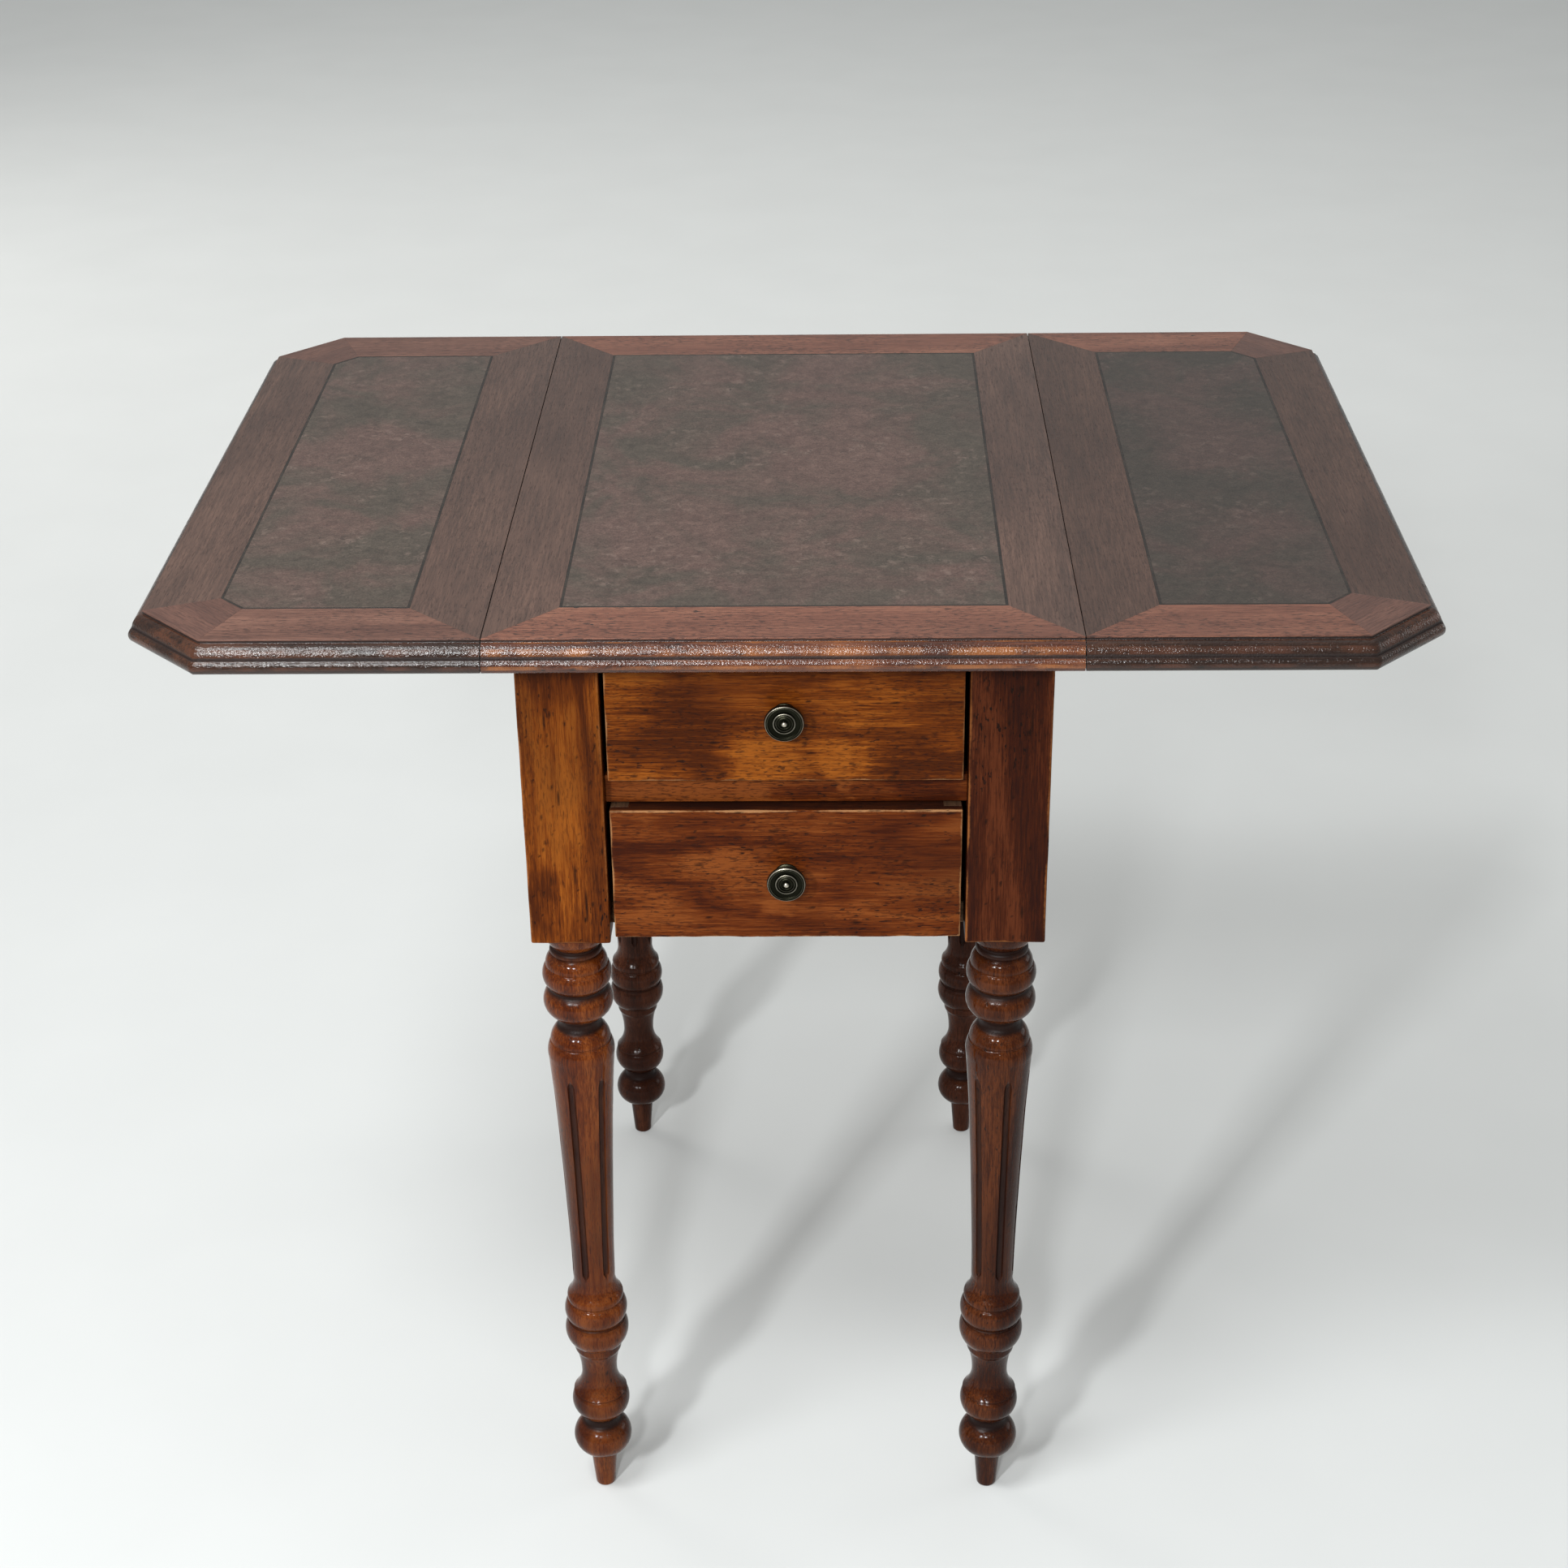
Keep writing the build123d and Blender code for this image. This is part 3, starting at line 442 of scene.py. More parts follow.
def box_shell(low, high, radius, step):
    """A closed box with rounded edges and an even grid of small faces."""
    axes = [stations(low[k], high[k], radius, step) for k in range(3)]
    shape = tuple(len(a) for a in axes)
    index = np.full(shape, -1)
    on_skin = np.zeros(shape, bool)
    for k in range(3):
        for end in (0, -1):
            cut = [slice(None)] * 3
            cut[k] = end
            on_skin[tuple(cut)] = True
    index[on_skin] = np.arange(on_skin.sum())
    points = np.stack([g[on_skin] for g in np.meshgrid(*axes, indexing="ij")], axis=1)
    faces = []
    for k in range(3):
        for end in (0, -1):
            side = np.take(index, end, axis=k)
            corners = [side[:-1, :-1], side[1:, :-1], side[1:, 1:], side[:-1, 1:]]
            if (end == 0) != (k == 1):
                corners.reverse()
            faces.append(np.stack([c.ravel() for c in corners], axis=1))
    core = np.clip(points, np.array(low) + radius, np.array(high) - radius)
    away = points - core
    length = np.linalg.norm(away, axis=1, keepdims=True)
    points = core + away / np.maximum(length, 1e-9) * np.minimum(length, radius)
    return points, np.concatenate(faces)


def edge_share(points, low, high, reach):
    """1 at a box's edges, falling to 0 at REACH from them."""
    gap = np.sort(np.minimum(points - np.array(low), np.array(high) - points), axis=1)
    return np.clip(1 - gap[:, 1] / reach, 0, 1)


def random_dents(rng, low, high, count, grain, long, wide, deep=(0.25, 0.6)):
    """Dents within a box: centre, half sizes along and across the grain, depth and grain axis.

    LONG, WIDE and DEEP are ranges in millimetres."""
    centres = rng.uniform(low, high, (count, 3))
    half_long = rng.uniform(*long, count) / 2 * MM
    half_wide = rng.uniform(*wide, count) / 2 * MM
    depths = rng.uniform(*deep, count) * MM
    return [(*dent, grain) for dent in zip(centres, half_long, half_wide, depths)]


def weather(mesh, dents, seed, edge, sink=0.12 * MM, edge_sink=0.5 * MM):
    """Sinks the surface a little: broad unevenness, rubbed edges and dents.  Nothing rises.

    EDGE says how near each point is to a rubbed edge, from 0 to 1."""
    points = positions(mesh)
    facing = normals(mesh)
    depth = sink * (0.5 + 0.5 * ripple(points, 0.03, seed))
    dented = np.zeros(len(points))
    for centre, half_long, half_wide, deep, grain in dents:
        gap = points - centre
        along = gap[:, grain] / half_long
        gap[:, grain] = 0
        across = np.linalg.norm(gap, axis=1) / half_wide
        share = np.clip(1 - along ** 2 - across ** 2, 0, 1)
        dented = np.maximum(dented, share)
        depth = np.maximum(depth, deep * share)
    patchy = np.clip(0.45 + 0.75 * ripple(points, 0.02, seed + 1), 0, 1)
    depth = depth + edge_sink * edge * patchy
    worn = edge * (0.4 + 0.6 * patchy)
    mesh.vertices.foreach_set("co", (points - facing * depth[:, None]).ravel())
    store(mesh, "dent", dented ** 0.5)
    store(mesh, "worn", worn)
    store(mesh, "hollow", np.zeros(len(points)))
    mesh.update()


# --- Turned pieces ---------------------------------------------------------------------
class Profile:
    """The outline of a turned piece in millimetres, from its lower end up."""

    def __init__(self, radius, height):
        self.points = [(radius, height)]

    def line(self, radius, height, steps=1):
        r0, z0 = self.points[-1]
        for k in range(1, steps + 1):
            self.points.append((r0 + (radius - r0) * k / steps, z0 + (height - z0) * k / steps))

    def arc(self, radius, height, bulge, steps=12):
        start = self.points[-1]
        middle = ((start[0] + radius) / 2 + bulge, (start[1] + height) / 2)
        self.points += three_point_arc(start, middle, (radius, height), steps)

    def curve(self, knots, step=3.0):
        """A smooth line through the knots, by height."""
        knots = [self.points[-1]] + knots
        heights = np.array([z for _, z in knots])
        radii = np.array([r for r, _ in knots])
        slopes = np.gradient(radii, heights)
        for k in range(len(knots) - 1):
            span = heights[k + 1] - heights[k]
            for t in np.arange(1, round(span / step) + 1) / round(span / step):
                radius = (radii[k] * (1 + 2 * t) * (1 - t) ** 2 + slopes[k] * span * t * (1 - t) ** 2
                          + radii[k + 1] * t * t * (3 - 2 * t) + slopes[k + 1] * span * t * t * (t - 1))
                self.points.append((radius, heights[k] + span * t))

    def array(self):
        return np.array(self.points) * MM


BLOCK_TUCK = 2.0  # how far the turning reaches up into its block, in millimetres


def leg_profile():
    p = Profile(6.4, 0)
    p.arc(7.4, 1.0, 0.3, 3)
    p.line(10.1, 33, 10)
    p.arc(13.5, 62, 10.0, 26)  # ball
    p.arc(13.5, 69, -1.0, 8)
    p.arc(19.5, 91, 4.7, 18)  # bead
    p.arc(19.8, 93, -1.0, 4)
    p.arc(13.2, 110, -1.6, 12)  # long cove
    p.arc(16.2, 131, -0.8, 12)
    p.arc(17.4, 134, 0.4, 4)
    p.line(17.4, 137.4, 2)
    p.arc(21.3, 159.6, 3.9, 18)  # double bead
    p.arc(20.7, 161.0, -0.7, 4)
    p.arc(20.7, 177.6, 2.4, 14)
    p.arc(20.4, 179.2, -0.6, 4)
    p.arc(20.3, 184, 0.35, 4)
    p.arc(15.4, 201, -1.9, 12)  # bell under the shaft
    p.curve([(15.6, 220), (16.9, 265), (18.9, 320), (21.2, 367), (23.2, 394)])
    p.arc(21.6, 406, 1.0, 10)
    p.arc(21.2, 408, -0.7, 4)
    p.arc(15.2, 418.5, 1.4, 12)
    p.arc(14.6, 425, -1.2, 8)
    p.line(15.2, 427)
    p.arc(20.7, 449, 6.3, 22)  # upper ball
    p.arc(20.4, 452, -0.6, 4)
    p.arc(22.0, 468, 2.9, 14)
    p.arc(21.6, 469.2, -0.4, 3)
    p.arc(17.0, 478, 1.4, 8)
    p.arc(17.0, 483, 1.2, 6)
    p.arc(17.0, 485, -0.8, 4)
    p.arc(22.5, 499, 1.4, 14)  # collar under the block
    p.line(22.5, 499 + BLOCK_TUCK)
    return p.array()


FLUTES = 6
FLUTE_HALF_WIDTH = 2.7 * MM
FLUTE_DEPTH = 2.6 * MM
FLUTE_Z = (0.204, 0.381)
FLUTE_TAPER = 5 * MM
FLUTE_GRIME = 0.72
FLUTE_TURN = {"front_left": 42.0, "front_right": 15.5, "back_left": 4.0, "back_right": 48.0}
FLUTE_INSIDE = np.array([-1.0, -0.93, -0.8, -0.6, -0.35, -0.12, 0.12, 0.35, 0.6, 0.8, 0.93, 1.0])
FLUTE_BETWEEN = np.array([0.03, 0.14, 0.3, 0.5, 0.7, 0.86, 0.97])


def lathe(profile, turns):
    """Rings of points about Z.  TURNS holds each point's angle, one row for each ring."""
    rings, around = turns.shape
    radius = profile[:, :1] * np.ones((1, around))
    height = profile[:, 1:] * np.ones((1, around))
    points = np.stack([radius * np.cos(turns), radius * np.sin(turns), height], axis=2).reshape(-1, 3)
    index = np.arange(rings * around).reshape(rings, around)
    after = np.roll(index, -1, axis=1)
    quads = np.stack([index[:-1], after[:-1], after[1:], index[1:]], axis=2).reshape(-1, 4)
    caps = [list(index[0][::-1]), list(index[-1])]
    return points, [list(q) for q in quads] + caps


GROOVE_REACH = 12 * MM
DEEPEST_GROOVE = 4.0 * MM


def groove_share(profile):
    """How deep each point of a profile lies in a hollow: 0 on the swells, 1 in the deepest groove."""
    radius, height = profile[:, 0], profile[:, 1]
    share = np.zeros(len(profile))
    for k in range(len(profile)):
        near = np.abs(height - height[k]) < GROOVE_REACH
        below = radius[near & (height <= height[k])].max()
        above = radius[near & (height >= height[k])].max()
        share[k] = np.clip((min(below, above) - radius[k]) / DEEPEST_GROOVE, 0, 1) ** 1.3
    return share


def fluted_shaft(profile, turn):
    """The leg's turning, with flutes carved into its shaft."""
    radius, height = profile[:, 0], profile[:, 1]
    low, high = FLUTE_Z
    inside = np.clip(np.minimum(height - low, high - height) / FLUTE_TAPER, 0, 1)
    round_end = np.sqrt(np.clip(1 - (1 - inside) ** 2, 0, 1))
    half = FLUTE_HALF_WIDTH * np.maximum(round_end, 0.3) / np.maximum(radius, 0.012)
    pitch = 2 * math.pi / FLUTES
    rows, depth = [], []
    bowl = np.concatenate([np.sqrt(1 - FLUTE_INSIDE ** 2), np.zeros(len(FLUTE_BETWEEN))])
    for k in range(len(profile)):
        between = half[k] + FLUTE_BETWEEN * (pitch - 2 * half[k])
        one = np.concatenate([FLUTE_INSIDE * half[k], between])
        rows.append(np.concatenate([one + pitch * f + math.radians(turn - 90) for f in range(FLUTES)]))
        depth.append(np.tile(bowl * round_end[k], FLUTES))
    turns, depth = np.array(rows), np.array(depth)
    points, faces = lathe(profile, turns)
    carved = depth.ravel()
    radial = points[:, :2] / np.maximum(np.linalg.norm(points[:, :2], axis=1, keepdims=True), 1e-9)
    points[:, :2] -= radial * (carved * FLUTE_DEPTH)[:, None]
    grime_and_shade = np.clip(carved * 2.4, 0, FLUTE_GRIME)
    hollow = np.maximum(np.repeat(groove_share(profile), turns.shape[1]), grime_and_shade)
    return points, faces, hollow


BLOCK_EDGE = 1.5 * MM
BLOCK_STEP = 1.4 * MM


def worn_leg(name, block_wood, turned_wood, seed):
    """One leg: the square block with its dents, and the fluted turning under it."""
    node = f"{name}_leg"
    low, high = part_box(node)
    profile = leg_profile()
    block_z = profile[-1, 1] - BLOCK_TUCK * MM
    centre = (low + high) / 2
    shaft, shaft_faces, hollow = fluted_shaft(profile, FLUTE_TURN[name])
    shaft += np.array((centre.x, centre.y, 0))
    block_low, block_high = (low.x, low.y, block_z), tuple(high)
    block, block_faces = box_shell(block_low, block_high, BLOCK_EDGE, BLOCK_STEP)
    faces = shaft_faces + [list(f + len(shaft)) for f in block_faces]
    points = np.concatenate([shaft, block])
    piece = mesh_object(f"{name}_leg_worn", points, faces, "carcass", block_wood, [node])
    piece.data.materials.append(turned_wood)
    turned = np.arange(len(faces)) < len(shaft_faces)
    piece.data.polygons.foreach_set("material_index", turned.astype(np.int32))
    rng = np.random.default_rng(seed)
    dents = random_dents(rng, block_low, block_high, 210, 2, (1.2, 5.0), (0.8, 1.7), (0.3, 0.7))
    dents += random_dents(rng, block_low, block_high, 14, 2, (9.0, 28.0), (0.9, 1.2), (0.2, 0.4))
    for dent in dents:  # each dent of the block moves out to one of its four sides
        side = int(rng.integers(2))
        dent[0][side] = (block_low, block_high)[int(rng.integers(2))][side]
    for _ in range(70):  # nicks round the turning
        angle, height = rng.uniform(0, 2 * math.pi), rng.uniform(0.04, 0.49)
        radius = np.interp(height, profile[:, 1], profile[:, 0])
        out = np.array([math.cos(angle), math.sin(angle)]) * radius
        spot = np.array([centre.x + out[0], centre.y + out[1], height])
        dents.append((spot, rng.uniform(1.2, 2.6) * MM, rng.uniform(0.5, 0.9) * MM, 0.35 * MM, 2))
    edge = edge_share(points, block_low, block_high, 3.0 * MM)
    edge[: len(shaft)] = 0
    weather(piece.data, dents, seed, edge)
    store(piece.data, "hollow", np.concatenate([hollow, np.zeros(len(block))]))
    smooth(piece.data)
    return piece


# --- Top boards ------------------------------------------------------------------------
BOARD_STEP = 3.0 * MM
# Rows of the moulding's outline, counted from the underside up.
NICKED_ROWS = [5, 8, 11, 19, 24, 27]
RUBBED_ROWS = [5, 6, 7, 8, 18, 19, 20, 21, 22, 23, 28, 29, 30]
# Rows darkened through the hollow attribute: the step between the bead and the quarter round, and the
# top fillet.
DARKENED_ROWS = [14, 15, 16, 17, 31, 32, 33]


def moulding():
    """The edge moulding as (distance out, height above the underside), from the underside up."""
    points = [(8.1, 0.0), (8.5, 0.25)]
    points += three_point_arc(points[-1], (10.0, 4.4), (8.2, 8.3), 12)
    points += [(7.6, 8.75), (7.0, 8.8), (7.0, 9.1)]
    points += three_point_arc(points[-1], (5.3, 14.5), (1.2, 17.4), 12)
    points += [(0.9, 17.5), (0.15, 17.5), (0.0, 17.7), (0.0, 18.4), (0.0, 19.0)]
    return np.array(points) * MM


def offset_outline(corners, moulded, out):
    """The outline with each moulded edge moved OUT; neighbours meet in mitres."""
    count = len(corners)
    lines = []
    for k in range(count):
        a, b = np.array(corners[k]), np.array(corners[(k + 1) % count])
        along = (b - a) / np.linalg.norm(b - a)
        outward = np.array([along[1], -along[0]])
        lines.append((a + outward * (out if moulded[k] else 0), along))
    moved = []
    for k in range(count):
        (p, u), (q, v) = lines[k - 1], lines[k]
        share = np.linalg.solve(np.stack([u, -v], axis=1), q - p)[0]
        moved.append(p + u * share)
    return moved


def board(node, corners, moulded, body, material, seed):
    """A top board with its moulded edge, in small faces so that it can be dented."""
    low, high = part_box(node)
    rows = []
    sides = zip(corners, corners[1:] + corners[:1])
    counts = [max(1, round(math.dist(a, b) / BOARD_STEP)) for a, b in sides]
    profile = moulding()
    for out, up in profile:
        outline = offset_outline(corners, moulded, out)
        row = []
        for k, count in enumerate(counts):
            a, b = outline[k], outline[(k + 1) % len(outline)]
            row += [(*(a + (b - a) * t / count), low.z + up) for t in range(count)]
        rows.append(row)
    around = len(rows[0])
    points = np.array(rows).reshape(-1, 3)
    points[:, 2] = np.minimum(points[:, 2], high.z)
    index = np.arange(len(points)).reshape(len(rows), around)
    after = np.roll(index, -1, axis=1)
    quads = np.stack([index[:-1], after[:-1], after[1:], index[1:]], axis=2).reshape(-1, 4)
    faces = [list(q) for q in quads] + [list(index[0][::-1]), list(index[-1])]
    piece = mesh_object(f"{node}_worn", points, faces, body, material, [node])
    rng = np.random.default_rng(seed)
    dents = []
    for _ in range(90):  # nicks along the upper edge and the torus
        row = int(rng.choice(NICKED_ROWS))
        spot = points[int(rng.choice(index[row]))]
        grain = 0 if abs(spot[1]) > 0.28 else 1
        half_long = rng.uniform(0.8, 3.2) * MM
        half_wide = rng.uniform(0.5, 1.1) * MM
        dents.append((spot, half_long, half_wide, rng.uniform(0.2, 0.6) * MM, grain))
    row_of = np.arange(len(points)) // around
    rubbed = np.isin(row_of, RUBBED_ROWS) * 0.7
    weather(piece.data, dents, seed, rubbed, sink=0.10 * MM, edge_sink=0.12 * MM)
    fixed = positions(piece.data)
    rim = np.concatenate([index[0], index[-1]])  # the flat faces' edges stay where they were
    fixed[rim] = points[rim]
    piece.data.vertices.foreach_set("co", fixed.ravel())
    store(piece.data, "hollow", np.isin(row_of, DARKENED_ROWS) * 0.9)
    smooth(piece.data, 50.0)
    return piece


def top_boards(materials):
    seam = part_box("centre_board")[1].x
    seam_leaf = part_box("right_leaf_side_bands")[0].x
    cut_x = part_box("right_leaf_end_bands")[1].x
    end_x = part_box("right_leaf_corner_bands")[1].x
    half_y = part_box("centre_end_bands")[1].y
    end_y = half_y - (end_x - cut_x)
    centre = [(-seam, -half_y), (seam, -half_y), (seam, half_y), (-seam, half_y)]
    right = [(seam_leaf, -half_y), (cut_x, -half_y), (end_x, -end_y), (end_x, end_y),
             (cut_x, half_y), (seam_leaf, half_y)]
    left = [(-x, y) for x, y in reversed(right)]
    board("centre_board", centre, [True, False] * 2, "carcass", materials["centre_edge"], 31)
    for leaf, outline, seed in (("right_leaf", right, 32), ("left_leaf", left, 33)):
        moulded = [True] * 5 + [False]
        board(f"{leaf}_board", outline, moulded, leaf, materials["leaf_edge"], seed)


# --- Drawer fronts and knobs -----------------------------------------------------------
def cleaned_copy(node):
    """A copy of a CAD node's mesh with its split corners joined."""
    mesh = NODES[node].data.copy()
    work = bmesh.new()
    work.from_mesh(mesh)
    bmesh.ops.remove_doubles(work, verts=work.verts, dist=1e-6)
    work.to_mesh(mesh)
    work.free()
    return bpy.data.objects.new(f"{node}_cutter", mesh)


def cut_away(piece, cutter):
    """Cuts one mesh out of another and keeps the result as the piece's mesh."""
    bpy.context.scene.collection.objects.link(cutter)
    modifier = piece.modifiers.new("cut", "BOOLEAN")
    modifier.operation = "DIFFERENCE"
    modifier.solver = "EXACT"
    modifier.object = cutter
    evaluated = piece.evaluated_get(bpy.context.evaluated_depsgraph_get())
    mesh = bpy.data.meshes.new_from_object(evaluated)
    piece.modifiers.clear()
    piece.data = mesh
    bpy.data.objects.remove(cutter)


def drawer_front(name, material, seed, top_wear):
    """A dented front, with sockets for its drawer's sides; TOP_WEAR rubs its upper edge pale."""
    node = f"{name}_drawer_front"
    body = f"{name}_drawer"
    low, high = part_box(node)
    points, faces = box_shell(low, high, 0.9 * MM, 1.5 * MM)
    piece = mesh_object(f"{node}_worn", points, faces, body, material, [node])
    rng = np.random.default_rng(seed)
    face_high = (high.x, low.y, high.z)
    dents = random_dents(rng, low, face_high, 60, 0, (2.0, 8.0), (0.7, 1.3), (0.2, 0.45))
    for z, count in ((high.z, 14), (low.z, 10)):  # nicks along the face's upper and lower edge
        start, end = (low.x, low.y, z), (high.x, low.y, z)
        dents += random_dents(rng, start, end, count, 0, (3.0, 9.0), (1.0, 2.0))
    weather(piece.data, dents, seed, edge_share(points, low, high, 2.2 * MM))
    back = (points[:, 1] - low.y) / MM
    down = (high.z - points[:, 2]) / MM
    # Painted shade: the front's top face, under the rail above it, is darkened through the hollow
    # attribute.
    grime_and_shade = np.clip(back - 1.5, 0, 1) * (down < 0.5) * 0.8  # on the top face
    store(piece.data, "hollow", grime_and_shade)
    arris = np.clip(1.6 - np.maximum(back * 0.8, down), 0, 1)
    arris *= 0.75 + 0.45 * ripple(points, 0.03, seed + 2)
    worn = np.zeros(len(points))
    piece.data.attributes["worn"].data.foreach_get("value", worn)
    store(piece.data, "worn", np.maximum(worn, arris * top_wear))
    cut_away(piece, cleaned_copy(f"{name}_drawer_sides"))
    smooth(piece.data)
    return piece


KNOB_STUD = 27.0
KNOB_FACE = 13.2  # everything higher is the face with its rings
KNOB_DISH = 11.7  # radius of the grimy dish inside the rim
KNOB_SEGMENTS = 72


def knob_profile():
    """Radius and height above the drawer front, in millimetres; the stud runs below zero."""
    p = Profile(2.5, -KNOB_STUD)
    p.line(2.5, 0, 4)
    p.line(8.0, 0.02)
    p.arc(7.6, 1.5, 0.35, 4)
    p.arc(5.0, 5, -0.9, 8)
    p.arc(11.0, 11, -2.2, 12)
    p.arc(12.5, 11.8, 0.2, 3)
    p.arc(12.5, 14.0, 0.5, 8)
    p.arc(11.9, 14.7, 0.2, 4)
    p.line(11.6, 14.1, 2)
    p.line(11.4, 14.1)
    p.arc(10.7, 14.5, 0.25, 5)
    p.line(10.4, 13.8, 2)
    p.arc(7.6, 13.3, -0.15, 6)
    p.line(7.2, 14.3, 2)
    p.line(6.7, 14.4)
    p.line(6.3, 13.7, 2)
    p.line(5.8, 13.7)
    p.line(5.5, 14.2)
    p.line(5.1, 14.2)
    p.line(4.8, 13.6, 2)
    p.line(4.2, 13.6)
    p.line(3.9, 14.1)
    p.line(3.5, 14.1)
    p.line(3.1, 13.5, 2)
    p.line(2.1, 13.6, 2)
    p.arc(1.5, 15.4, 0.3, 5)
    p.arc(0.25, 16.0, 0.3, 5)
    return p.array()


# Rubbed rings of a knob: radius and width in millimetres, and how bright.
KNOB_RINGS = [(12.3, 0.24, 0.95), (11.0, 0.20, 0.30), (6.95, 0.32, 0.95), (5.3, 0.25, 0.45),
              (0.5, 1.1, 1.3)]


def knob(name, material):
    node = f"{name}_drawer_knob"
    low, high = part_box(node)
    profile = knob_profile()
    radius, height = profile[:, 0] / MM, profile[:, 1] / MM
    circle = np.arange(KNOB_SEGMENTS) * 2 * math.pi / KNOB_SEGMENTS
    points, faces = lathe(profile, np.tile(circle, (len(profile), 1)))
    front = high.y - KNOB_STUD * MM  # the drawer front's face
    centre_z = (low.z + high.z) / 2
    placed = np.stack([points[:, 0], front - points[:, 2], points[:, 1] + centre_z], axis=1)
    body = f"{name}_drawer"
    piece = mesh_object(f"{node}_turned", placed, faces, body, material, [node])
    on_face = height > KNOB_FACE
    raised = np.zeros(len(profile))
    for at, width, share in KNOB_RINGS:
        raised = np.maximum(raised, share * np.exp(-(((radius - at) / width) ** 2)))
    deep = np.clip((14.3 - height) / 0.5, 0, 1) * (radius < KNOB_DISH)
    store(piece.data, "worn", np.repeat(raised * on_face, KNOB_SEGMENTS))
    store(piece.data, "hollow", np.repeat(deep * on_face, KNOB_SEGMENTS))
    smooth(piece.data, 60.0)
    return piece


# --- CAD nodes that stay ---------------------------------------------------------------
def dress(node, material, edge):
    """Gives a CAD node its material and softens its edges."""
    piece = NODES[node]
    piece.data.materials.clear()
    piece.data.materials.append(material)
    weld = piece.modifiers.new("weld", "WELD")
    weld.merge_threshold = 1e-6
    flat = piece.modifiers.new("flat", "DECIMATE")
    flat.decimate_type = "DISSOLVE"
    flat.angle_limit = math.radians(0.6)
    bevel = piece.modifiers.new("edges", "BEVEL")
    bevel.width = edge
    bevel.segments = 2
    bevel.limit_method = "ANGLE"
    bevel.angle_limit = math.radians(35)
    bevel.harden_normals = True


def spots_on(node, patches):
    """Patches given as shares of a front's width and height, turned into places on the node."""
    low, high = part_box(node)
    size = high - low
    spots = []
    for across, up, wide, tall, paler in patches:
        centre = (low.x + across * size.x, low.y, low.z + up * size.z)
        spots.append((centre, (wide * size.x, 0.2, tall * size.z), paler))
    return spots


# Each patch: where across, where up, half width, half height, how much paler. The last block patch is
# painted shadow under the top's overhang.
BLOCK_PATCHES = [(0.12, 0.74, 0.34, 0.06, -0.26), (0.62, 0.84, 0.45, 0.07, 0.10),
                 (0.5, 1.0, 1.6, 0.075, -0.26)]
RAIL_PATCHES = [(0.22, 0.5, 0.22, 1.2, 0.22), (0.42, 0.2, 0.05, 0.8, 0.22),
                (0.64, 0.7, 0.03, 0.8, 0.26), (0.53, 0.4, 0.10, 1.0, -0.14),
                (0.85, 0.4, 0.14, 1.0, -0.20), (0.95, 0.3, 0.04, 0.7, 0.16)]
# The last upper patch is painted shadow under the top's overhang, darkening the front's upper part.
UPPER_PATCHES = [(0.22, 0.30, 0.20, 0.50, -0.20), (0.30, 0.12, 0.10, 0.26, -0.14),
                 (0.87, 0.12, 0.20, 0.34, -0.20), (0.44, 0.14, 0.15, 0.38, 0.18),
                 (0.66, 0.12, 0.09, 0.26, 0.18), (0.72, 0.62, 0.26, 0.40, 0.10),
                 (0.08, 0.66, 0.14, 0.45, 0.06), (0.50, 1.02, 1.20, 0.30, -0.28)]
LOWER_PATCHES = [(0.27, 0.90, 0.18, 0.26, -0.22), (0.08, 0.74, 0.16, 0.30, -0.16),
                 (0.30, 0.60, 0.14, 0.12, 0.20), (0.47, 0.20, 0.07, 0.10, 0.18),
                 (0.12, 0.18, 0.20, 0.22, 0.08), (0.62, 0.45, 0.12, 0.30, -0.08)]


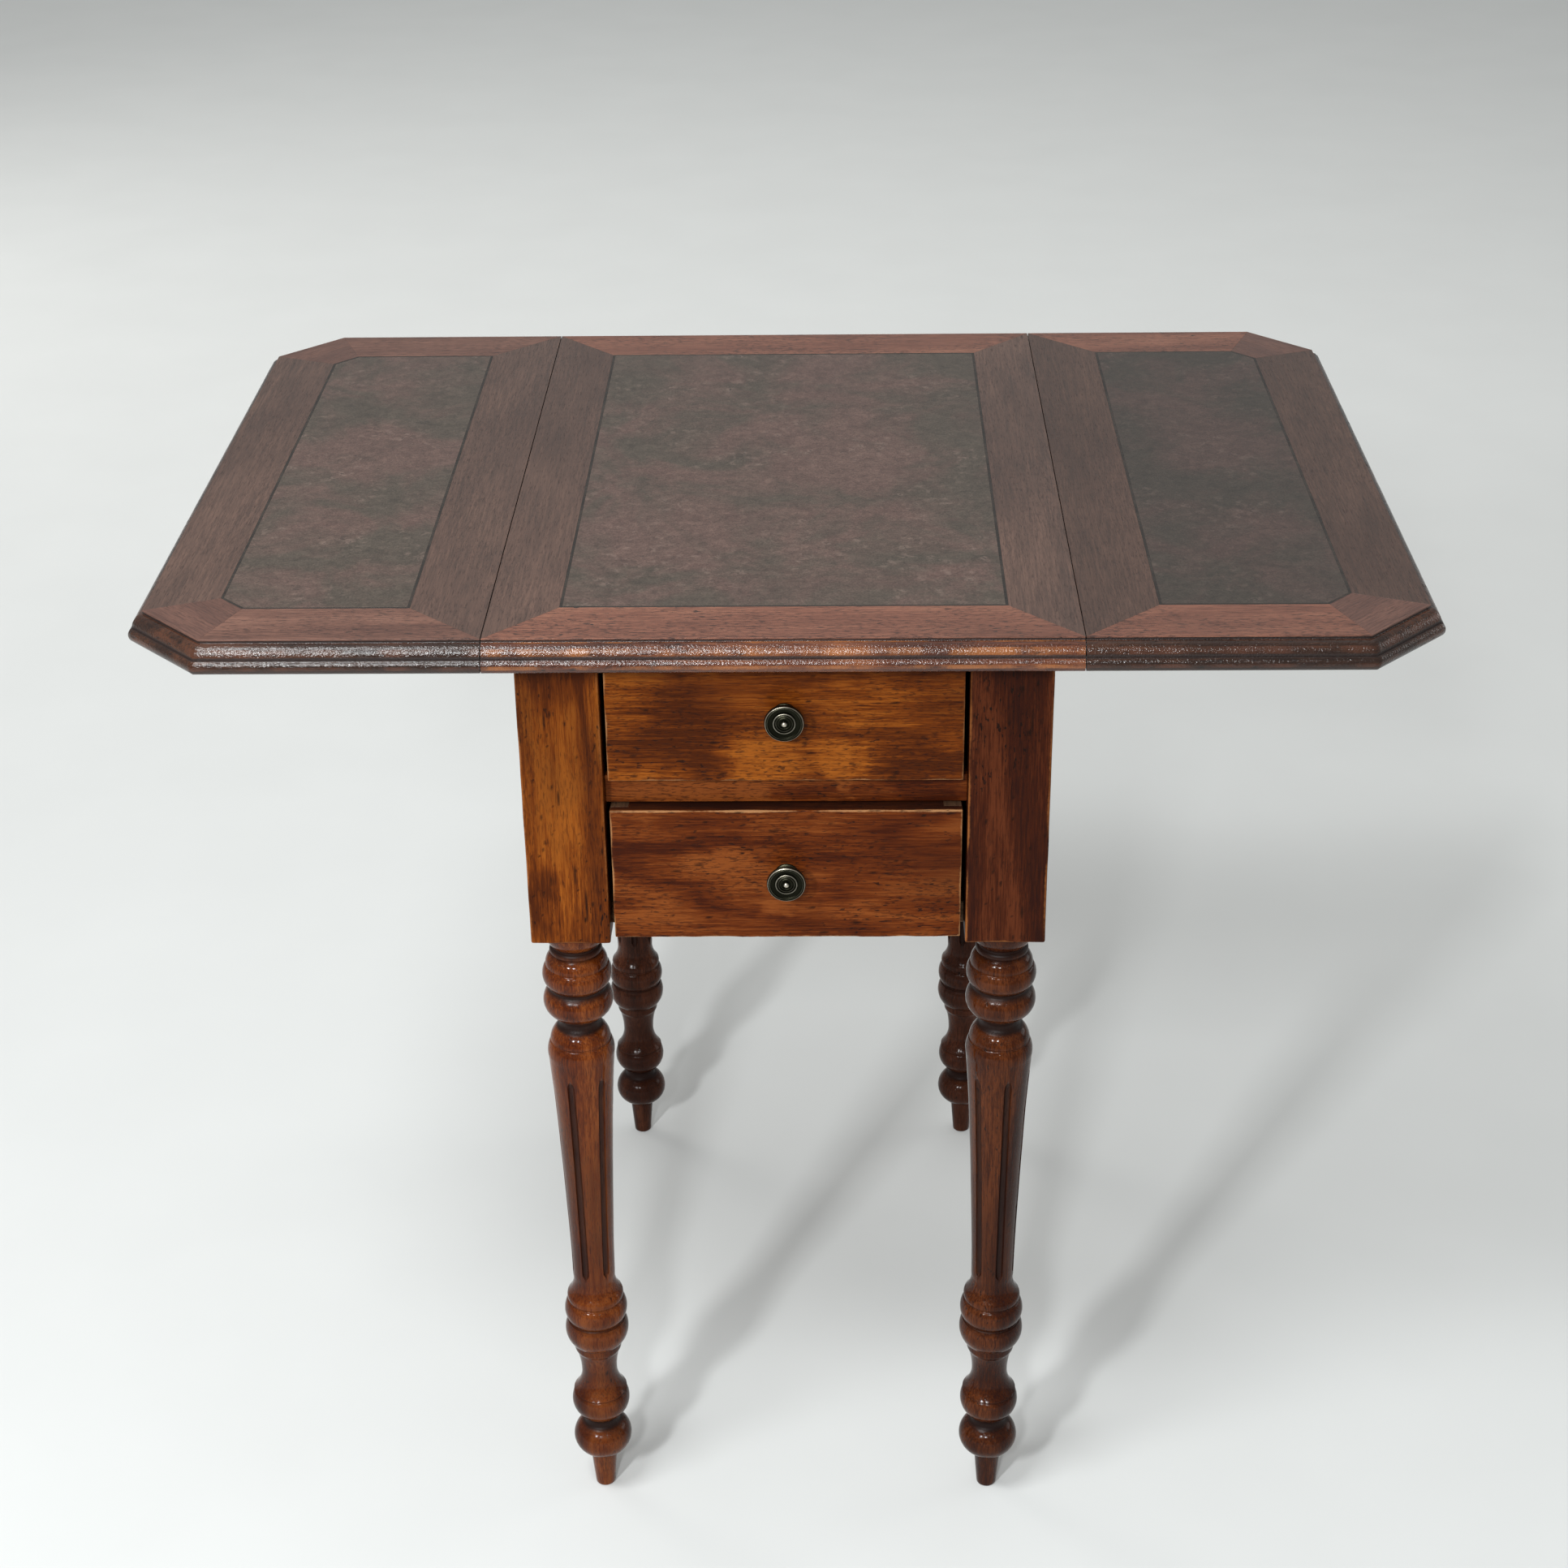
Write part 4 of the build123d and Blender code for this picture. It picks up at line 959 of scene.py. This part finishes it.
def build_materials():
    red_brown = [(0.038, 0.007, 0.002), (0.094, 0.019, 0.003), (0.176, 0.046, 0.009)]
    chestnut = [(0.018, 0.004, 0.002), (0.040, 0.009, 0.002), (0.088, 0.023, 0.006)]
    umber = [(0.019, 0.006, 0.003), (0.045, 0.013, 0.006), (0.085, 0.028, 0.013)]
    orange = [(0.052, 0.011, 0.002), (0.130, 0.029, 0.003), (0.265, 0.074, 0.008)]
    dark_red = [(0.020, 0.005, 0.003), (0.042, 0.009, 0.003), (0.085, 0.021, 0.007)]
    # Drawer sides: an aged brown, made darker still as painted shade.
    aged_and_shaded_lining = [(0.027, 0.012, 0.006), (0.051, 0.024, 0.012), (0.084, 0.043, 0.021)]
    corner_band = [(0.062, 0.026, 0.018), (0.104, 0.044, 0.030), (0.155, 0.070, 0.047)]
    end_band = [(0.098, 0.032, 0.018), (0.172, 0.063, 0.037), (0.255, 0.106, 0.062)]
    left_end_band = [(0.074, 0.029, 0.019), (0.130, 0.055, 0.036), (0.195, 0.091, 0.061)]
    side_band = [(0.045, 0.024, 0.017), (0.078, 0.041, 0.029), (0.118, 0.064, 0.045)]
    # The side band's tones made darker for the right leaf: painted shade for the darker right side of
    # the top.
    dim_band = [(0.036, 0.018, 0.012), (0.062, 0.031, 0.021), (0.094, 0.049, 0.033)]
    edge = [(0.038, 0.010, 0.005), (0.090, 0.026, 0.011), (0.185, 0.062, 0.022)]
    black_edge = [(0.012, 0.005, 0.003), (0.026, 0.010, 0.005), (0.062, 0.022, 0.010)]
    lining = [(0.150, 0.075, 0.032), (0.230, 0.125, 0.058), (0.310, 0.185, 0.092)]
    inner = [(0.120, 0.058, 0.024), (0.190, 0.100, 0.046), (0.260, 0.150, 0.072)]
    stringing = [(0.010, 0.008, 0.006), (0.019, 0.015, 0.012), (0.034, 0.026, 0.020)]
    worn = (0.300, 0.105, 0.028)
    pale = (0.380, 0.190, 0.080)
    grey_stain = (0.12, 0.06, 0.03)
    dust = (0.06, 0.03, 0.015)
    front_block = {"marks": 0.9, "specular": 0.05, "worn_tone": worn}
    back_block = {"marks": 0.8, "specular": 0.2, "worn_tone": worn}
    front_turned = {"marks": 0.8, "flecks": 0.4, "gloss": 0.04, "worn_tone": worn, "worn": 0.5}
    back_turned = {"marks": 0.7, "gloss": 0.08, "specular": 0.09, "worn_tone": worn, "worn": 0.4}
    front = {"marks": 0.8, "specular": 0.05}
    moulded = {"gloss": 0.13, "peel": 3.2}
    plain = {"stain": 0.5, "specular": 0.2}
    polished = {"gloss": 0.36, "coat": 0.1, "specular": 0.5, "rings": 7, "ring_share": 0.2}
    banded = polished | {"rings": 5, "ring_share": 0.15, "flecks": 0.3}
    lined = {"stain": 0.35, "stain_tone": grey_stain, "marks": 0.3, "gloss": 0.55}
    hidden = {"stain": 0.4, "stain_tone": dust, "marks": 0.3, "gloss": 0.6}
    left_spots = spots_on("front_left_leg", BLOCK_PATCHES)
    upper_spots = spots_on("upper_drawer_front", UPPER_PATCHES)
    lower_spots = spots_on("lower_drawer_front", LOWER_PATCHES)
    rail_spots = spots_on("middle_front_rail", RAIL_PATCHES)
    return {
        "front_left_block": wood("front_left_block", "Z", orange, 1.0, stain=0.45, flecks=0.35,
                                 spots=left_spots, **front_block),
        "front_right_block": wood("front_right_block", "Z", dark_red, 2.0, stain=0.5, worn=0.65,
                                  **front_block),
        "back_left_block": wood("back_left_block", "Z", red_brown, 3.0, **back_block),
        "back_right_block": wood("back_right_block", "Z", red_brown, 4.0, **back_block),
        "front_left_turned": wood("front_left_turned", "Z", red_brown, 21.0, specular=0.15,
                                  **front_turned),
        "front_right_turned": wood("front_right_turned", "Z", chestnut, 22.0, specular=0.13,
                                   **front_turned),
        "back_left_turned": wood("back_left_turned", "Z", umber, 23.0, **back_turned),
        "back_right_turned": wood("back_right_turned", "Z", umber, 24.0, **back_turned),
        "upper": wood("upper_front", "X", orange, 5.0, stain=0.45, ring_share=0.2, worn_tone=pale,
                      spots=upper_spots, **front | {"marks": 0.7}),
        "lower": wood("lower_front", "X", red_brown, 6.3, stain=0.4, rings=14, ring_share=0.34,
                      worn_tone=pale, spots=lower_spots, **front),
        "centre_edge": wood("centre_edge", "X", edge, 7.0, stain=0.4, marks=0.7, specular=0.5,
                            worn_tone=worn, worn=0.6, **moulded),
        "leaf_edge": wood("leaf_edge", "X", black_edge, 8.0, stain=0.5, marks=0.5, specular=0.45,
                          worn_tone=(0.085, 0.030, 0.016), worn=0.5, **moulded),
        "rail": wood("rail_wood", "X", red_brown, 9.0, stain=0.5, spots=rail_spots, **front),
        "side": wood("side_wood", "Y", red_brown, 10.0, marks=0.5, **plain),
        "back": wood("back_wood", "X", red_brown, 11.0, marks=0.4, **plain),
        "end_band": wood("end_band", "X", end_band, 12.0, stain=0.22, marks=1.0, flecks=0.75,
                         **polished),
        "left_end_band": wood("left_end_band", "X", left_end_band, 12.6, stain=0.3, marks=0.8,
                              flecks=0.6, **polished),
        "side_band": wood("side_band", "Y", side_band, 13.0, stain=0.25, marks=0.35, **banded),
        "right_side_band": wood("right_side_band", "Y", dim_band, 13.5, stain=0.25, marks=0.35,
                                **banded | {"specular": 0.45}),
        "corner_band": wood("corner_band", "X", corner_band, 14.0, stain=0.2, marks=0.4,
                            turn=math.radians(45), mirrored=True, **banded),
        "stringing": wood("stringing_wood", "X", stringing, 15.0, stain=0.1, marks=0.1, gloss=0.36,
                          specular=0.4),
        "lining_x": wood("lining_across", "X", lining, 16.0, **lined),
        "lining_y": wood("lining_along", "Y", lining, 17.0, **lined),
        "aged_and_shaded_lining": wood("aged_and_shaded_lining", "Y", aged_and_shaded_lining, 20.0, stain=0.5, stain_tone=dust,
                            marks=0.5, gloss=0.5),
        "inner_x": wood("inner_across", "X", inner, 18.0, **hidden),
        "inner_y": wood("inner_along", "Y", inner, 19.0, **hidden),
        "centre_burl": burl("centre_burl", 0.0, "centre_burl_panel"),
        "left_burl": burl("left_leaf_burl", 3.0, "left_leaf_burl_panel"),
        # The right leaf's burl has its tones scaled to 0.6: painted shade for the darker right side of
        # the top.
        "right_burl": burl("right_leaf_burl", 5.0, "right_leaf_burl_panel", bright=0.60),
        "brass": aged_metal("bronzed_brass", (0.032, 0.031, 0.020), (0.480, 0.440, 0.360), 0.24, 1.0),
        "iron": aged_metal("dark_iron", (0.030, 0.027, 0.025), (0.110, 0.100, 0.092), 0.42, 2.0),
    }


def dress_nodes(materials):
    plan = {
        "rail": ["middle_front_rail"],
        "side": ["left_side_panel", "right_side_panel"],
        "back": ["back_panel"],
        "inner_x": ["top_front_rail", "bottom_front_rail"],
        "inner_y": ["upper_drawer_runners", "lower_drawer_runners", "drawer_guides",
                    "drawer_stops", "top_cleats"],
        "end_band": ["centre_end_bands", "right_leaf_end_bands"],
        "left_end_band": ["left_leaf_end_bands"],
        "side_band": ["centre_side_bands", "left_leaf_side_bands"],
        "right_side_band": ["right_leaf_side_bands"],
        "corner_band": [n for n in NODES if n.endswith("_corner_bands")],
        "stringing": [n for n in NODES if n.endswith("_stringing")],
        "centre_burl": ["centre_burl_panel"],
        "left_burl": ["left_leaf_burl_panel"],
        "right_burl": ["right_leaf_burl_panel"],
        "lining_x": ["upper_drawer_back", "lower_drawer_back"],
        "lining_y": ["upper_drawer_bottom", "lower_drawer_bottom"],
        "aged_and_shaded_lining": ["upper_drawer_sides", "lower_drawer_sides"],
        "brass": ["upper_drawer_knob_nut", "lower_drawer_knob_nut"],
    }
    ironware = ("screws", "pins", "plates", "brackets", "catches", "struts")
    plan["iron"] = [n for n in NODES if n.endswith(ironware)]
    rounding = {"stringing": 0.05, "iron": 0.25, "brass": 0.2}
    for key, names in plan.items():
        veneer = key.endswith(("_band", "_burl"))
        edge = rounding.get(key, 0.12 if veneer else 0.6)
        for node in names:
            dress(node, materials[key], edge * MM)


add_stage()
add_camera()
MATERIALS = build_materials()
dress_nodes(MATERIALS)
for k, leg in enumerate(FLUTE_TURN):
    worn_leg(leg, MATERIALS[f"{leg}_block"], MATERIALS[f"{leg}_turned"], 40 + k)
top_boards(MATERIALS)
for k, (drawer, top_wear) in enumerate((("upper", 0.0), ("lower", 1.1))):
    drawer_front(drawer, MATERIALS[drawer], 60 + k, top_wear)
    knob(drawer, MATERIALS["brass"])
